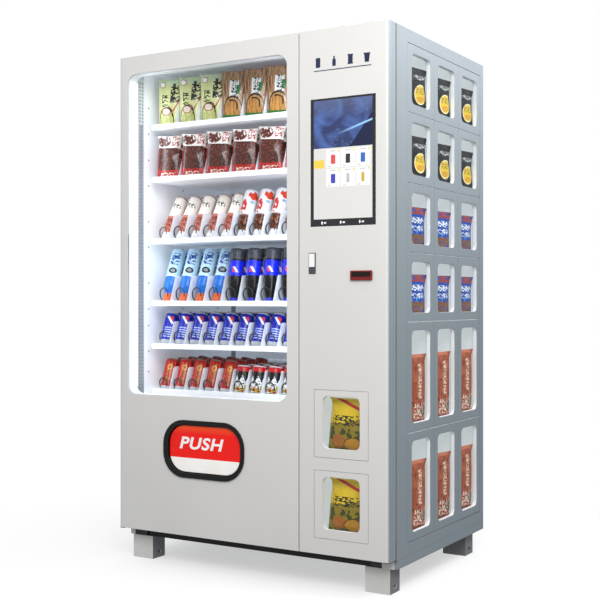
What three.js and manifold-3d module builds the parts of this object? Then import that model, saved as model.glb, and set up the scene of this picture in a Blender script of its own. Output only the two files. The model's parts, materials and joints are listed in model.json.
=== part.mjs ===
// Snack vending machine: a chilled display cabinet with a glass door on the left, a control column
// with a touch screen and two front lockers on the right, and a wall of lockers on the right side.
//
// Millimetres, +Z up. Inside `machine`, x runs from the left side, y from the face of the doors
// towards the back and z from the floor. The exported group puts the origin on the floor, at the
// centre of the box that holds the machine with its code scanner.
import * as THREE from 'three';
import { mergeVertices } from 'three/addons/utils/BufferGeometryUtils.js';
import Module from 'manifold-3d';

const wasm = await Module();
wasm.setup();

// ---------- driving dimensions ----------
const WIDTH = 1165;
const DEPTH = 850;
const HEIGHT = 1940;
const SHEET = 2; // folded sheet steel
const CLEARANCE = 0.3; // between pieces that touch on the real machine
const SEAM = 2; // open seam round a locker door

const DOOR_DEPTH = 50;
const DOOR_BOTTOM = 123;
const DOOR_EDGE_RADIUS = 14; // the doors' outer vertical edges
const DOOR_SPLIT = [812, 816]; // right edge of the glass door, left edge of the control door
const HINGE_INSET = 14; // hinge axes of both doors, from the side and from the front
const HINGE_PIN_RADIUS = 5;

const CABINET_FRONT = 54;
const BASE_BOTTOM = 88;
const BASE_TOP = 119.5;
const FLOOR_PAN_BOTTOM = 123;
const PARTITION_X = 788;

const WINDOW = { x: [43, 764], z: [642, 1872], radius: 40 };
const GLASS_REBATE = 8; // how far the glass reaches behind the front skin on each side
const GLASS_THICKNESS = 6;

const LINER = { x: [40, 782], y: [56, 780], z: [600, 1902], wall: 3 };
const DROP_SLOT_DEPTH = 54; // gap in the liner floor in front of the trays
const TRAY = { x: [66, 782], front: 120, back: 735, lip: 20 };
const TRAY_TOPS = [1693, 1487, 1244, 1000, 832, 656];
const LOWEST_TRAY_LIP = 27;
const SPIRALS = [
  { tray: 0, lane: 0.5 / 7, radius: 42, pitch: 86 },
  { tray: 2, lane: 0.5 / 10, radius: 30, pitch: 70 },
  { tray: 4, lane: 0.5 / 10, radius: 30, pitch: 70 },
];
const SPIRAL_WIRE = 2.2;
const SPIRAL_STEPS_PER_TURN = 10;

const BIN = { x: [64, 760], y: [56, 330], z: [325, 590], wall: 3 };
const FLAP_RING = { x: [220, 585], z: [340, 555], radius: 92, proud: 6 };
const FLAP_SLEEVE = { x: [230, 575], z: [350, 545], radius: 82 };
const FLAP_SLEEVE_DEPTH = 13;
const FLAP = { x: [245, 566], z: [362, 535], radius: 70, thickness: 10 };
const FLAP_GAP = 3;

const SCREEN = { x: [861, 1115], z: [1257, 1699], depth: 25 };
const LOCK = { x: [855, 882], z: [1094, 1167], depth: 20, handleBottom: 1117 };
const SCANNER = { x: [1021, 1103], z: [1070, 1103], proud: 8, depth: 20 };

const FRONT_LOCKER_X = [875, 1087];
const FRONT_LOCKERS_Z = [[458, 693], [178, 414]];
const FRONT_LOCKER_BACK = 140;
const LOCKER_DOOR_DEPTH = 16;
const LOCKER_WINDOW_RADIUS = 22;
const FRONT_WINDOW_MARGINS = { x: 32, bottom: 31, top: 20 };

const GRID_Y = [146, 814];
const GRID_COLUMNS = 3;
const GRID_Z = [1894, 1655, 1410, 1168, 927, 542, 163];
const GRID_BACK_X = 846;
const SIDE_WINDOW_MARGINS = { x: 32, bottom: 30, top: 30 };

const FOOT = { width: 95, depth: 75, wall: 3, sole: 4 };
const FOOT_X = [25, 1045];
const FOOT_Y = [58, 724];

// ---------- geometry helpers ----------
const FACING_FRONT = new THREE.Matrix4().makeBasis(
  new THREE.Vector3(1, 0, 0), new THREE.Vector3(0, 0, 1), new THREE.Vector3(0, -1, 0));
const FACING_SIDE = new THREE.Matrix4().makeBasis(
  new THREE.Vector3(0, 1, 0), new THREE.Vector3(0, 0, 1), new THREE.Vector3(1, 0, 0));

function toSolid(geometry) {
  const plain = geometry.clone();
  plain.deleteAttribute('normal');
  plain.deleteAttribute('uv');
  const merged = mergeVertices(plain, 1e-4);
  return new wasm.Manifold(new wasm.Mesh({
    numProp: 3,
    vertProperties: new Float32Array(merged.attributes.position.array),
    triVerts: new Uint32Array(merged.index.array),
  }));
}

function toGeometry(solid) {
  const mesh = solid.getMesh();
  const geometry = new THREE.BufferGeometry();
  geometry.setAttribute('position', new THREE.BufferAttribute(mesh.vertProperties, 3));
  geometry.setIndex(new THREE.BufferAttribute(mesh.triVerts, 1));
  return geometry;
}

function carve(base, cuts) {
  return toGeometry(cuts.reduce((solid, cut) => solid.subtract(toSolid(cut)), toSolid(base)));
}

function join(first, ...others) {
  return toGeometry(others.reduce((solid, other) => solid.add(toSolid(other)), toSolid(first)));
}

function block([x0, x1], [y0, y1], [z0, z1]) {
  const geometry = new THREE.BoxGeometry(x1 - x0, y1 - y0, z1 - z0);
  return geometry.translate((x0 + x1) / 2, (y0 + y1) / 2, (z0 + z1) / 2);
}

function grow([low, high], by) {
  return [low - by, high + by];
}

function rectangle([x0, x1], [y0, y1]) {
  return new THREE.Shape([[x0, y0], [x1, y0], [x1, y1], [x0, y1]].map((corner) => new THREE.Vector2(...corner)));
}

// The same with arcs at its four corners. An arc gets twice as many chords as its curveSegments.
function roundedRect([x0, x1], [y0, y1], radius) {
  const shape = new THREE.Shape();
  shape.absarc(x1 - radius, y0 + radius, radius, -Math.PI / 2, 0);
  shape.absarc(x1 - radius, y1 - radius, radius, 0, Math.PI / 2);
  shape.absarc(x0 + radius, y1 - radius, radius, Math.PI / 2, Math.PI);
  shape.absarc(x0 + radius, y0 + radius, radius, Math.PI, 1.5 * Math.PI);
  return shape;
}

// A plate upright across the front: its outline is in x and z, its thickness runs from y0 to y1.
function frontPlate(shape, [y0, y1], curveSegments = 4) {
  const plate = new THREE.ExtrudeGeometry(shape, { depth: y1 - y0, bevelEnabled: false, curveSegments });
  return plate.applyMatrix4(FACING_FRONT).translate(0, y1, 0);
}

function frontPad({ x, z, radius }, y, by = 0) {
  return frontPlate(roundedRect(grow(x, by), grow(z, by), radius + by), y);
}

function cylinderAlongY(radius, [y0, y1], segments = 24) {
  const geometry = new THREE.CylinderGeometry(radius, radius, y1 - y0, segments);
  return geometry.translate(0, (y0 + y1) / 2, 0);
}

// ---------- the scene graph ----------
const machine = new THREE.Group();
machine.position.set(-WIDTH / 2, (SCANNER.proud - DEPTH) / 2, 0);

function addMesh(name, geometry, [color, roughness, metalness], position = [0, 0, 0]) {
  const mesh = new THREE.Mesh(geometry, new THREE.MeshStandardMaterial({ color, roughness, metalness }));
  mesh.name = name;
  mesh.position.set(...position);
  machine.add(mesh);
}

const FRONT_GREY = [0xdedddb, 0.45, 0.1];
const SIDE_GREY = [0xa9aeb3, 0.5, 0.2];
const INNER_WHITE = [0xf4f6fa, 0.5, 0];
const BLACK_PLASTIC = [0x141414, 0.35, 0];
const DARK_STEEL = [0x3c4044, 0.5, 0.6];
const WIRE_BLACK = [0x101012, 0.35, 0.8];
const FOOT_GREY = [0xb5b5b2, 0.5, 0.3];
const PUSH_RED = [0xfa0a05, 0.25, 0];
const CLEAR_GLASS = [0xeef6fa, 0.05, 0];
const SCANNER_RED = [0x7a1010, 0.2, 0];
const HANDLE_WHITE = [0xf2f2f2, 0.3, 0];
const BRIGHT_METAL = [0xc8ccd0, 0.35, 0.9];

// ---------- cabinet ----------
function addCabinet() {
  const insideX = [SHEET + CLEARANCE, WIDTH - SHEET - CLEARANCE];
  const insideY = [CABINET_FRONT, DEPTH - SHEET - CLEARANCE];
  const wallZ = [FLOOR_PAN_BOTTOM + SHEET + CLEARANCE, HEIGHT - SHEET - CLEARANCE];
  addMesh('side_panel_left', block([0, SHEET], [CABINET_FRONT, DEPTH], [BASE_TOP + CLEARANCE, HEIGHT]),
    SIDE_GREY);
  addMesh('top_panel', block(insideX, insideY, [HEIGHT - SHEET, HEIGHT]), FRONT_GREY);
  addMesh('back_panel', block(insideX, [DEPTH - SHEET, DEPTH], [FLOOR_PAN_BOTTOM, HEIGHT]), SIDE_GREY);
  addMesh('floor_pan', block(insideX, insideY, [FLOOR_PAN_BOTTOM, FLOOR_PAN_BOTTOM + SHEET]), SIDE_GREY);
  addMesh('partition_wall', block([PARTITION_X, PARTITION_X + SHEET], insideY, wallZ), INNER_WHITE);

  const sideSheet = block([WIDTH - SHEET, WIDTH], [CABINET_FRONT, DEPTH], [BASE_TOP + CLEARANCE, HEIGHT]);
  const gridOpening = block([0, 2 * WIDTH], grow(GRID_Y, 1), [GRID_Z.at(-1) - 1, GRID_Z[0] + 1]);
  addMesh('side_frame_right', carve(sideSheet, [gridOpening]), SIDE_GREY);
}

// The base frame is a ring whose front corners are rounded and stand forward of the kick strip.
function addBase() {
  const cornerLength = 95;
  const cornerRadius = 25;
  const front = 56;
  const recess = 66;
  const rail = 20;
  const outline = new THREE.Shape();
  outline.moveTo(WIDTH, DEPTH);
  outline.lineTo(0, DEPTH);
  outline.absarc(cornerRadius, front + cornerRadius, cornerRadius, Math.PI, 1.5 * Math.PI);
  outline.lineTo(cornerLength, front);
  outline.lineTo(cornerLength, recess);
  outline.lineTo(WIDTH - cornerLength, recess);
  outline.lineTo(WIDTH - cornerLength, front);
  outline.absarc(WIDTH - cornerRadius, front + cornerRadius, cornerRadius, 1.5 * Math.PI, 2 * Math.PI);
  const ring = new THREE.ExtrudeGeometry(outline, {
    depth: BASE_TOP - BASE_BOTTOM, bevelEnabled: false, curveSegments: 3,
  }).translate(0, 0, BASE_BOTTOM);
  const inside = block([rail, WIDTH - rail], [recess + rail, DEPTH - rail], [0, HEIGHT]);
  addMesh('base_frame', carve(ring, [inside]), SIDE_GREY);

  const strip = block([cornerLength + CLEARANCE, WIDTH - cornerLength - CLEARANCE],
    [recess - 4, recess - CLEARANCE], [BASE_BOTTOM, BASE_TOP]);
  addMesh('kick_strip', strip, BLACK_PLASTIC);
}

// A foot is a folded box that is open at the back, with a flat sole and a slot in each cheek.
function addFeet() {
  const { width, depth, wall, sole } = FOOT;
  const top = BASE_BOTTOM - CLEARANCE;
  const shell = block([0, width], [0, depth], [0, top]);
  const hollow = block([wall, width - wall], [wall, 2 * depth], [sole, top - wall]);
  const slot = block([-width, 2 * width], [28, 50], [16, 28]);
  const places = [['left', FOOT_X[0]], ['right', FOOT_X[1]]];
  for (const [side, x] of places) {
    addMesh(`foot_front_${side}`, carve(shell, [hollow, slot]), FOOT_GREY, [x, FOOT_Y[0], 0]);
    addMesh(`foot_rear_${side}`, carve(shell, [hollow, slot]), FOOT_GREY, [x, FOOT_Y[1], 0]);
  }
}

// ---------- chilled display ----------
function addLiner() {
  const { x, y, z, wall } = LINER;
  const outside = block(grow(x, wall), [y[0], y[1] + wall], grow(z, wall));
  const inside = block(x, [0, y[1]], z);
  const dropSlot = block([TRAY.x[0], BIN.x[1] - 8], [0, y[0] + DROP_SLOT_DEPTH], [0, z[1]]);
  addMesh('inner_liner', carve(outside, [inside, dropSlot]), INNER_WHITE);
}

function addTrays() {
  TRAY_TOPS.forEach((top, index) => {
    const lip = index === TRAY_TOPS.length - 1 ? LOWEST_TRAY_LIP : TRAY.lip;
    const slab = block([0, TRAY.x[1] - TRAY.x[0] - 1], [0, TRAY.back - TRAY.front], [-lip, 0]);
    const inside = block([SHEET, TRAY.x[1] - TRAY.x[0] - 1 - SHEET],
      [SHEET, TRAY.back - TRAY.front - SHEET], [SHEET - lip, lip]);
    addMesh(`tray_${index + 1}`, carve(slab, [inside]), INNER_WHITE, [TRAY.x[0], TRAY.front, top]);
  });
}

class Helix extends THREE.Curve {
  constructor(radius, pitch, turns) {
    super();
    Object.assign(this, { radius, pitch, turns });
  }

  getPoint(t, target = new THREE.Vector3()) {
    const angle = 2 * Math.PI * this.turns * t;
    return target.set(this.radius * Math.cos(angle), this.pitch * this.turns * t, this.radius * Math.sin(angle));
  }
}

// One vending spiral is modelled on every second tray, in its leftmost lane.
function addSpirals() {
  const length = TRAY.back - TRAY.front - 40;
  for (const { tray, lane, radius, pitch } of SPIRALS) {
    const turns = Math.floor(length / pitch);
    const wire = new THREE.Shape().absarc(0, 0, SPIRAL_WIRE, 0, 2 * Math.PI);
    const coil = new THREE.ExtrudeGeometry(wire, {
      extrudePath: new Helix(radius, pitch, turns), steps: turns * SPIRAL_STEPS_PER_TURN, curveSegments: 2,
    });
    const x = TRAY.x[0] + lane * (TRAY.x[1] - TRAY.x[0]);
    const z = TRAY_TOPS[tray] - TRAY.lip + SHEET + radius + SPIRAL_WIRE + 3;
    addMesh(`spiral_tray_${tray + 1}`, coil, WIRE_BLACK, [x, TRAY.front + 8, z]);
  }
}

// The bin under the drop slot is open at the top and towards the flap.
function addDeliveryBin() {
  const { x, y, z, wall } = BIN;
  const inside = block(grow(x, -wall), [0, y[1] - wall], [z[0] + wall, 2 * z[1]]);
  addMesh('delivery_bin', carve(block(x, y, z), [inside]), DARK_STEEL);
}

// ---------- cooling unit ----------
function addCoolingUnit() {
  const floor = FLOOR_PAN_BOTTOM + SHEET + CLEARANCE;
  const canRadius = 85;
  const canHeight = 190;
  const crown = 35;
  const profile = new THREE.Path();
  profile.moveTo(0, 0);
  profile.lineTo(canRadius + 12, 0);
  profile.lineTo(canRadius + 12, 5);
  profile.lineTo(canRadius, 5);
  profile.lineTo(canRadius, canHeight - crown);
  profile.quadraticCurveTo(canRadius, canHeight, 0, canHeight);
  const can = new THREE.LatheGeometry(profile.getPoints(5), 24).rotateX(Math.PI / 2);
  addMesh('compressor', can, BLACK_PLASTIC, [210, 590, floor]);

  const coil = { x: [360, 640], y: [620, 690], z: [floor, floor + 280] };
  const centre = [500, 0, floor + 140];
  const fanRadius = 105;
  addMesh('condenser', block(coil.x, coil.y, coil.z), BRIGHT_METAL);

  const blades = 5;
  const bladeSet = Array.from({ length: blades }, (_, index) => {
    const blade = block([15, fanRadius], [-1.2, 1.2], [-26, 26]);
    return blade.rotateX(Math.PI / 5).rotateY((2 * Math.PI * index) / blades);
  });
  const fan = join(cylinderAlongY(26, [-20, 20]), ...bladeSet);
  addMesh('condenser_fan', fan, BLACK_PLASTIC, [centre[0], coil.y[1] + 42, centre[2]]);
}

// ---------- doors ----------
// The outline of a door seen from above, with a rounded front corner on its hinge side.
function doorPlan([x0, x1], [y0, y1], radius, hingeOnLeft) {
  const plan = new THREE.Shape();
  plan.moveTo(x1, y1);
  plan.lineTo(x0, y1);
  if (hingeOnLeft) {
    plan.absarc(x0 + radius, y0 + radius, radius, Math.PI, 1.5 * Math.PI);
    plan.lineTo(x1, y0);
  } else {
    plan.lineTo(x0, y0);
    plan.absarc(x1 - radius, y0 + radius, radius, 1.5 * Math.PI, 2 * Math.PI);
  }
  return plan;
}

// A folded door pan, open at the back.
function doorPan(x, hingeOnLeft) {
  const outer = doorPlan(x, [0, DOOR_DEPTH], DOOR_EDGE_RADIUS, hingeOnLeft);
  const inner = doorPlan(grow(x, -SHEET), [SHEET, 2 * DOOR_DEPTH], DOOR_EDGE_RADIUS - SHEET, hingeOnLeft);
  const upright = (plan, z0, z1) => new THREE.ExtrudeGeometry(plan, {
    depth: z1 - z0, bevelEnabled: false, curveSegments: 3,
  }).translate(0, 0, z0);
  return {
    shell: upright(outer, DOOR_BOTTOM, HEIGHT),
    pocket: upright(inner, DOOR_BOTTOM + SHEET, HEIGHT - SHEET),
  };
}

function hingeHole(x) {
  const hole = new THREE.CylinderGeometry(HINGE_PIN_RADIUS + 1, HINGE_PIN_RADIUS + 1, 20, 16);
  return hole.rotateX(Math.PI / 2).translate(x, HINGE_INSET, DOOR_BOTTOM);
}

function addGlassDoor() {
  const x = [0, DOOR_SPLIT[0]];
  const { shell, pocket } = doorPan(x, true);
  const collar = frontPad(WINDOW, [0, DOOR_DEPTH], GLASS_REBATE + 3);
  const rebate = frontPad(WINDOW, [SHEET, 2 * DOOR_DEPTH], GLASS_REBATE + CLEARANCE);
  const opening = frontPad(WINDOW, [-10, DOOR_DEPTH]);
  const sleeveHole = frontPad(FLAP_SLEEVE, [-10, DOOR_DEPTH], CLEARANCE);
  const hollow = toGeometry(toSolid(pocket).subtract(toSolid(collar)));
  const cuts = [hollow, rebate, opening, sleeveHole, hingeHole(HINGE_INSET)];
  addMesh('glass_door_frame', carve(shell, cuts), FRONT_GREY);

  const glassY = [SHEET + CLEARANCE, SHEET + CLEARANCE + GLASS_THICKNESS];
  addMesh('door_glass', frontPad(WINDOW, glassY, GLASS_REBATE), CLEAR_GLASS);

  const retainerY = [glassY[1] + CLEARANCE, DOOR_DEPTH];
  const retainer = carve(frontPad(WINDOW, retainerY, GLASS_REBATE), [opening]);
  addMesh('glass_retainer', retainer, INNER_WHITE);
}

function addPushFlap() {
  const ring = frontPad(FLAP_RING, [-FLAP_RING.proud, -CLEARANCE]);
  const sleeve = frontPad(FLAP_SLEEVE, [-2, FLAP_SLEEVE_DEPTH]);
  const mouth = frontPad(FLAP, [-20, 2 * FLAP_SLEEVE_DEPTH], FLAP_GAP);
  addMesh('push_frame', toGeometry(toSolid(ring).add(toSolid(sleeve)).subtract(toSolid(mouth))),
    BLACK_PLASTIC);
  const flapY = [FLAP_SLEEVE_DEPTH - FLAP.thickness, FLAP_SLEEVE_DEPTH];
  addMesh('push_flap', frontPad(FLAP, flapY), PUSH_RED);
}

function addControlDoor() {
  const x = [DOOR_SPLIT[1], WIDTH];
  const { shell, pocket } = doorPan(x, false);
  const through = (px, pz) => block(px, [-10, 10], pz);
  const cuts = [
    pocket,
    through(SCREEN.x, SCREEN.z),
    through(LOCK.x, LOCK.z),
    through(grow(SCANNER.x, -2), grow(SCANNER.z, -2)),
    ...FRONT_LOCKERS_Z.map((z) => through(FRONT_LOCKER_X, z)),
    hingeHole(WIDTH - HINGE_INSET),
  ];
  addMesh('control_door', carve(shell, cuts), FRONT_GREY);

  const screen = block(grow(SCREEN.x, -CLEARANCE), [0.6, SCREEN.depth], grow(SCREEN.z, -CLEARANCE));
  addMesh('touch_screen', screen, BLACK_PLASTIC);

  const window = block(SCANNER.x, [-SCANNER.proud, -CLEARANCE], SCANNER.z);
  const barrel = block(grow(SCANNER.x, -4), [-2, SCANNER.depth], grow(SCANNER.z, -4));
  addMesh('code_scanner', join(window, barrel), SCANNER_RED);

  // The case is a cup, and the handle fills it above the key cylinder.
  const handleTop = LOCK.z[1] - 2;
  const caseBlock = block(grow(LOCK.x, -CLEARANCE), [-3, LOCK.depth], grow(LOCK.z, -CLEARANCE));
  const cup = block(grow(LOCK.x, -2), [-10, 12], [LOCK.handleBottom - 2, handleTop]);
  addMesh('lock_case', carve(caseBlock, [cup]), DARK_STEEL);
  const handle = block(grow(LOCK.x, -3), [-6, 4], [LOCK.handleBottom, handleTop - 1]);
  addMesh('lock_handle', handle, HANDLE_WHITE);
}

function addHingeBrackets() {
  const plateZ = [BASE_TOP + CLEARANCE, FLOOR_PAN_BOTTOM - CLEARANCE];
  const sides = [['left', HINGE_INSET], ['right', WIDTH - HINGE_INSET]];
  for (const [side, x] of sides) {
    const plate = block([x - 11, x + 11], [3, 110], plateZ);
    const pin = new THREE.CylinderGeometry(HINGE_PIN_RADIUS, HINGE_PIN_RADIUS, 20, 16);
    pin.rotateX(Math.PI / 2).translate(x, HINGE_INSET, plateZ[0] + 11);
    addMesh(`hinge_bracket_${side}`, join(plate, pin), DARK_STEEL);
  }
}

// ---------- lockers ----------
// A folded door pan with a collared window, drawn about its lower front corner.
// `plate` extrudes an outline through [inner, outer] of the door's thickness.
function lockerDoor(width, height, margins, plate) {
  const skin = 1.5;
  const side = (by) => [margins.x - by, width - margins.x + by];
  const rise = (by) => [margins.bottom - by, height - margins.top + by];
  const square = (by) => rectangle([by, width - by], [by, height - by]);
  const windowShape = (by) => roundedRect(side(by), rise(by), LOCKER_WINDOW_RADIUS + by);
  const pocket = toSolid(plate(square(skin), 'pocket', skin)).subtract(toSolid(plate(windowShape(skin), 'all', 0)));
  const solid = toSolid(plate(square(0), 'door', 0)).subtract(pocket);
  return toGeometry(solid.subtract(toSolid(plate(windowShape(0), 'all', 0))));
}

function sidePlate(shape, span, skin) {
  const spans = {
    door: [-LOCKER_DOOR_DEPTH, 0],
    pocket: [-2 * LOCKER_DOOR_DEPTH, -skin],
    all: [-3 * LOCKER_DOOR_DEPTH, LOCKER_DOOR_DEPTH],
  };
  const [x0, x1] = spans[span];
  const plate = new THREE.ExtrudeGeometry(shape, { depth: x1 - x0, bevelEnabled: false, curveSegments: 2 });
  return plate.applyMatrix4(FACING_SIDE).translate(x0, 0, 0);
}

function facePlate(shape, span, skin) {
  const spans = {
    door: [0, LOCKER_DOOR_DEPTH],
    pocket: [skin, 2 * LOCKER_DOOR_DEPTH],
    all: [-LOCKER_DOOR_DEPTH, 3 * LOCKER_DOOR_DEPTH],
  };
  return frontPlate(shape, spans[span], 2);
}

function addFrontLockers() {
  const [x0, x1] = FRONT_LOCKER_X;
  const outerZ = grow([FRONT_LOCKERS_Z[1][0], FRONT_LOCKERS_Z[0][1]], SHEET);
  const cell = (z) => block(FRONT_LOCKER_X, [0, FRONT_LOCKER_BACK - SHEET], z);
  const between = block(FRONT_LOCKER_X, [SHEET + CLEARANCE + SHEET, 2 * FRONT_LOCKER_BACK],
    [FRONT_LOCKERS_Z[1][1] + SHEET, FRONT_LOCKERS_Z[0][0] - SHEET]);
  const box = block([x0 - SHEET, x1 + SHEET], [SHEET + CLEARANCE, FRONT_LOCKER_BACK], outerZ);
  addMesh('front_locker_box', carve(box, [...FRONT_LOCKERS_Z.map(cell), between]), INNER_WHITE);

  FRONT_LOCKERS_Z.forEach(([z0, z1], index) => {
    const door = lockerDoor(x1 - x0 - SEAM, z1 - z0 - SEAM, FRONT_WINDOW_MARGINS, facePlate);
    addMesh(`front_locker_door_${index + 1}`, door, FRONT_GREY, [x0 + SEAM / 2, 0, z0 + SEAM / 2]);
  });
}

function addSideLockers() {
  const pitch = (GRID_Y[1] - GRID_Y[0]) / GRID_COLUMNS;
  const mouthX = WIDTH - LOCKER_DOOR_DEPTH - 1;
  const cells = [];
  for (let column = 0; column < GRID_COLUMNS; column += 1) {
    const y0 = GRID_Y[0] + column * pitch;
    for (let row = 0; row < GRID_Z.length - 1; row += 1) {
      const [z1, z0] = [GRID_Z[row], GRID_Z[row + 1]];
      cells.push(block([GRID_BACK_X + SHEET, WIDTH], [y0 + SHEET / 2, y0 + pitch - SHEET / 2],
        [z0 + SHEET / 2, z1 - SHEET / 2]));
      const door = lockerDoor(pitch - SEAM, z1 - z0 - SEAM, SIDE_WINDOW_MARGINS, sidePlate);
      addMesh(`locker_door_${'abc'[column]}${row + 1}`, door, SIDE_GREY,
        [WIDTH, y0 + SEAM / 2, z0 + SEAM / 2]);
    }
  }
  const housing = block([GRID_BACK_X, mouthX], grow(GRID_Y, SHEET / 2),
    [GRID_Z.at(-1) - SHEET / 2, GRID_Z[0] + SHEET / 2]);
  addMesh('locker_housing', carve(housing, cells), INNER_WHITE);
}

addCabinet();
addBase();
addFeet();
addLiner();
addTrays();
addSpirals();
addDeliveryBin();
addCoolingUnit();
addGlassDoor();
addPushFlap();
addControlDoor();
addHingeBrackets();
addFrontLockers();
addSideLockers();

const vendingMachine = new THREE.Group();
vendingMachine.add(machine);
export default vendingMachine;
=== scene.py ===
"""Looks of the snack vending machine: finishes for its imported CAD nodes, and the pieces that only show,
such as panes, stock, lane dividers, lamps and the picture on the screen.

Metres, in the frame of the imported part: x to the right, y to the back, z up from the floor.
"""
import json
import math
import random

import bmesh
import bpy
import numpy as np
from mathutils import Matrix, Vector


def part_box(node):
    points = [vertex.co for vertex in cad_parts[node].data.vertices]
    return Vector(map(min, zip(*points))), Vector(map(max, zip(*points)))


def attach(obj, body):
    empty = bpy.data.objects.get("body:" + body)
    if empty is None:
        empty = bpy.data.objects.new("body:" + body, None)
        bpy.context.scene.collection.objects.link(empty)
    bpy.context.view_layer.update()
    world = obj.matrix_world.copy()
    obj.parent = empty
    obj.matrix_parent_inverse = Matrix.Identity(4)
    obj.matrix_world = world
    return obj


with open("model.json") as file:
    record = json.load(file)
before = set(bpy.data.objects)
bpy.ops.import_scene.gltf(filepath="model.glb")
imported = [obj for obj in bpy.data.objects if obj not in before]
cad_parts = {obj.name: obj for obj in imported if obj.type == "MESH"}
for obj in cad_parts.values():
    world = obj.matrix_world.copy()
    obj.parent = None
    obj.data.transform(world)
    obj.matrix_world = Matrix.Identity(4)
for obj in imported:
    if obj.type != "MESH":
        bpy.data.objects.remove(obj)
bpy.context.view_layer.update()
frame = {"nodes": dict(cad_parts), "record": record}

rng = random.Random(11)

# ---------- places taken from the frame ----------
LANES = (7, 6, 10, 9, 10, 10)  # lanes on each tray, from the top
TRAY_SHEET = 0.002
TRAYS = [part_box(f"tray_{n}") for n in range(1, 7)]
FLOORS = [low.z + TRAY_SHEET for low, high in TRAYS]
TRAY_FRONT = TRAYS[0][0].y
TRAY_BACK = TRAYS[0][1].y
COLUMNS = "abc"
SIDE_DOORS = [f"locker_door_{column}{row}" for column in COLUMNS for row in range(1, 7)]
FRONT_DOORS = ["front_locker_door_1", "front_locker_door_2"]


def lane_x(tray, lane):
    low, high = TRAYS[tray]
    return low.x + (lane + 0.5) * (high.x - low.x) / LANES[tray]


# ---------- colours and material graphs ----------
def linear(code):
    """Linear colour of a hex code."""
    parts = [int(code[i:i + 2], 16) / 255 for i in (0, 2, 4)]
    return tuple(c / 12.92 if c <= 0.04045 else ((c + 0.055) / 1.055) ** 2.4 for c in parts) + (1.0,)


def scaled(colour, factor):
    return tuple(min(1.0, c * factor) for c in colour[:3]) + (1.0,)


def toned(colour, factors):
    return tuple(min(1.0, c * f) for c, f in zip(colour, factors)) + (1.0,)


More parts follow.
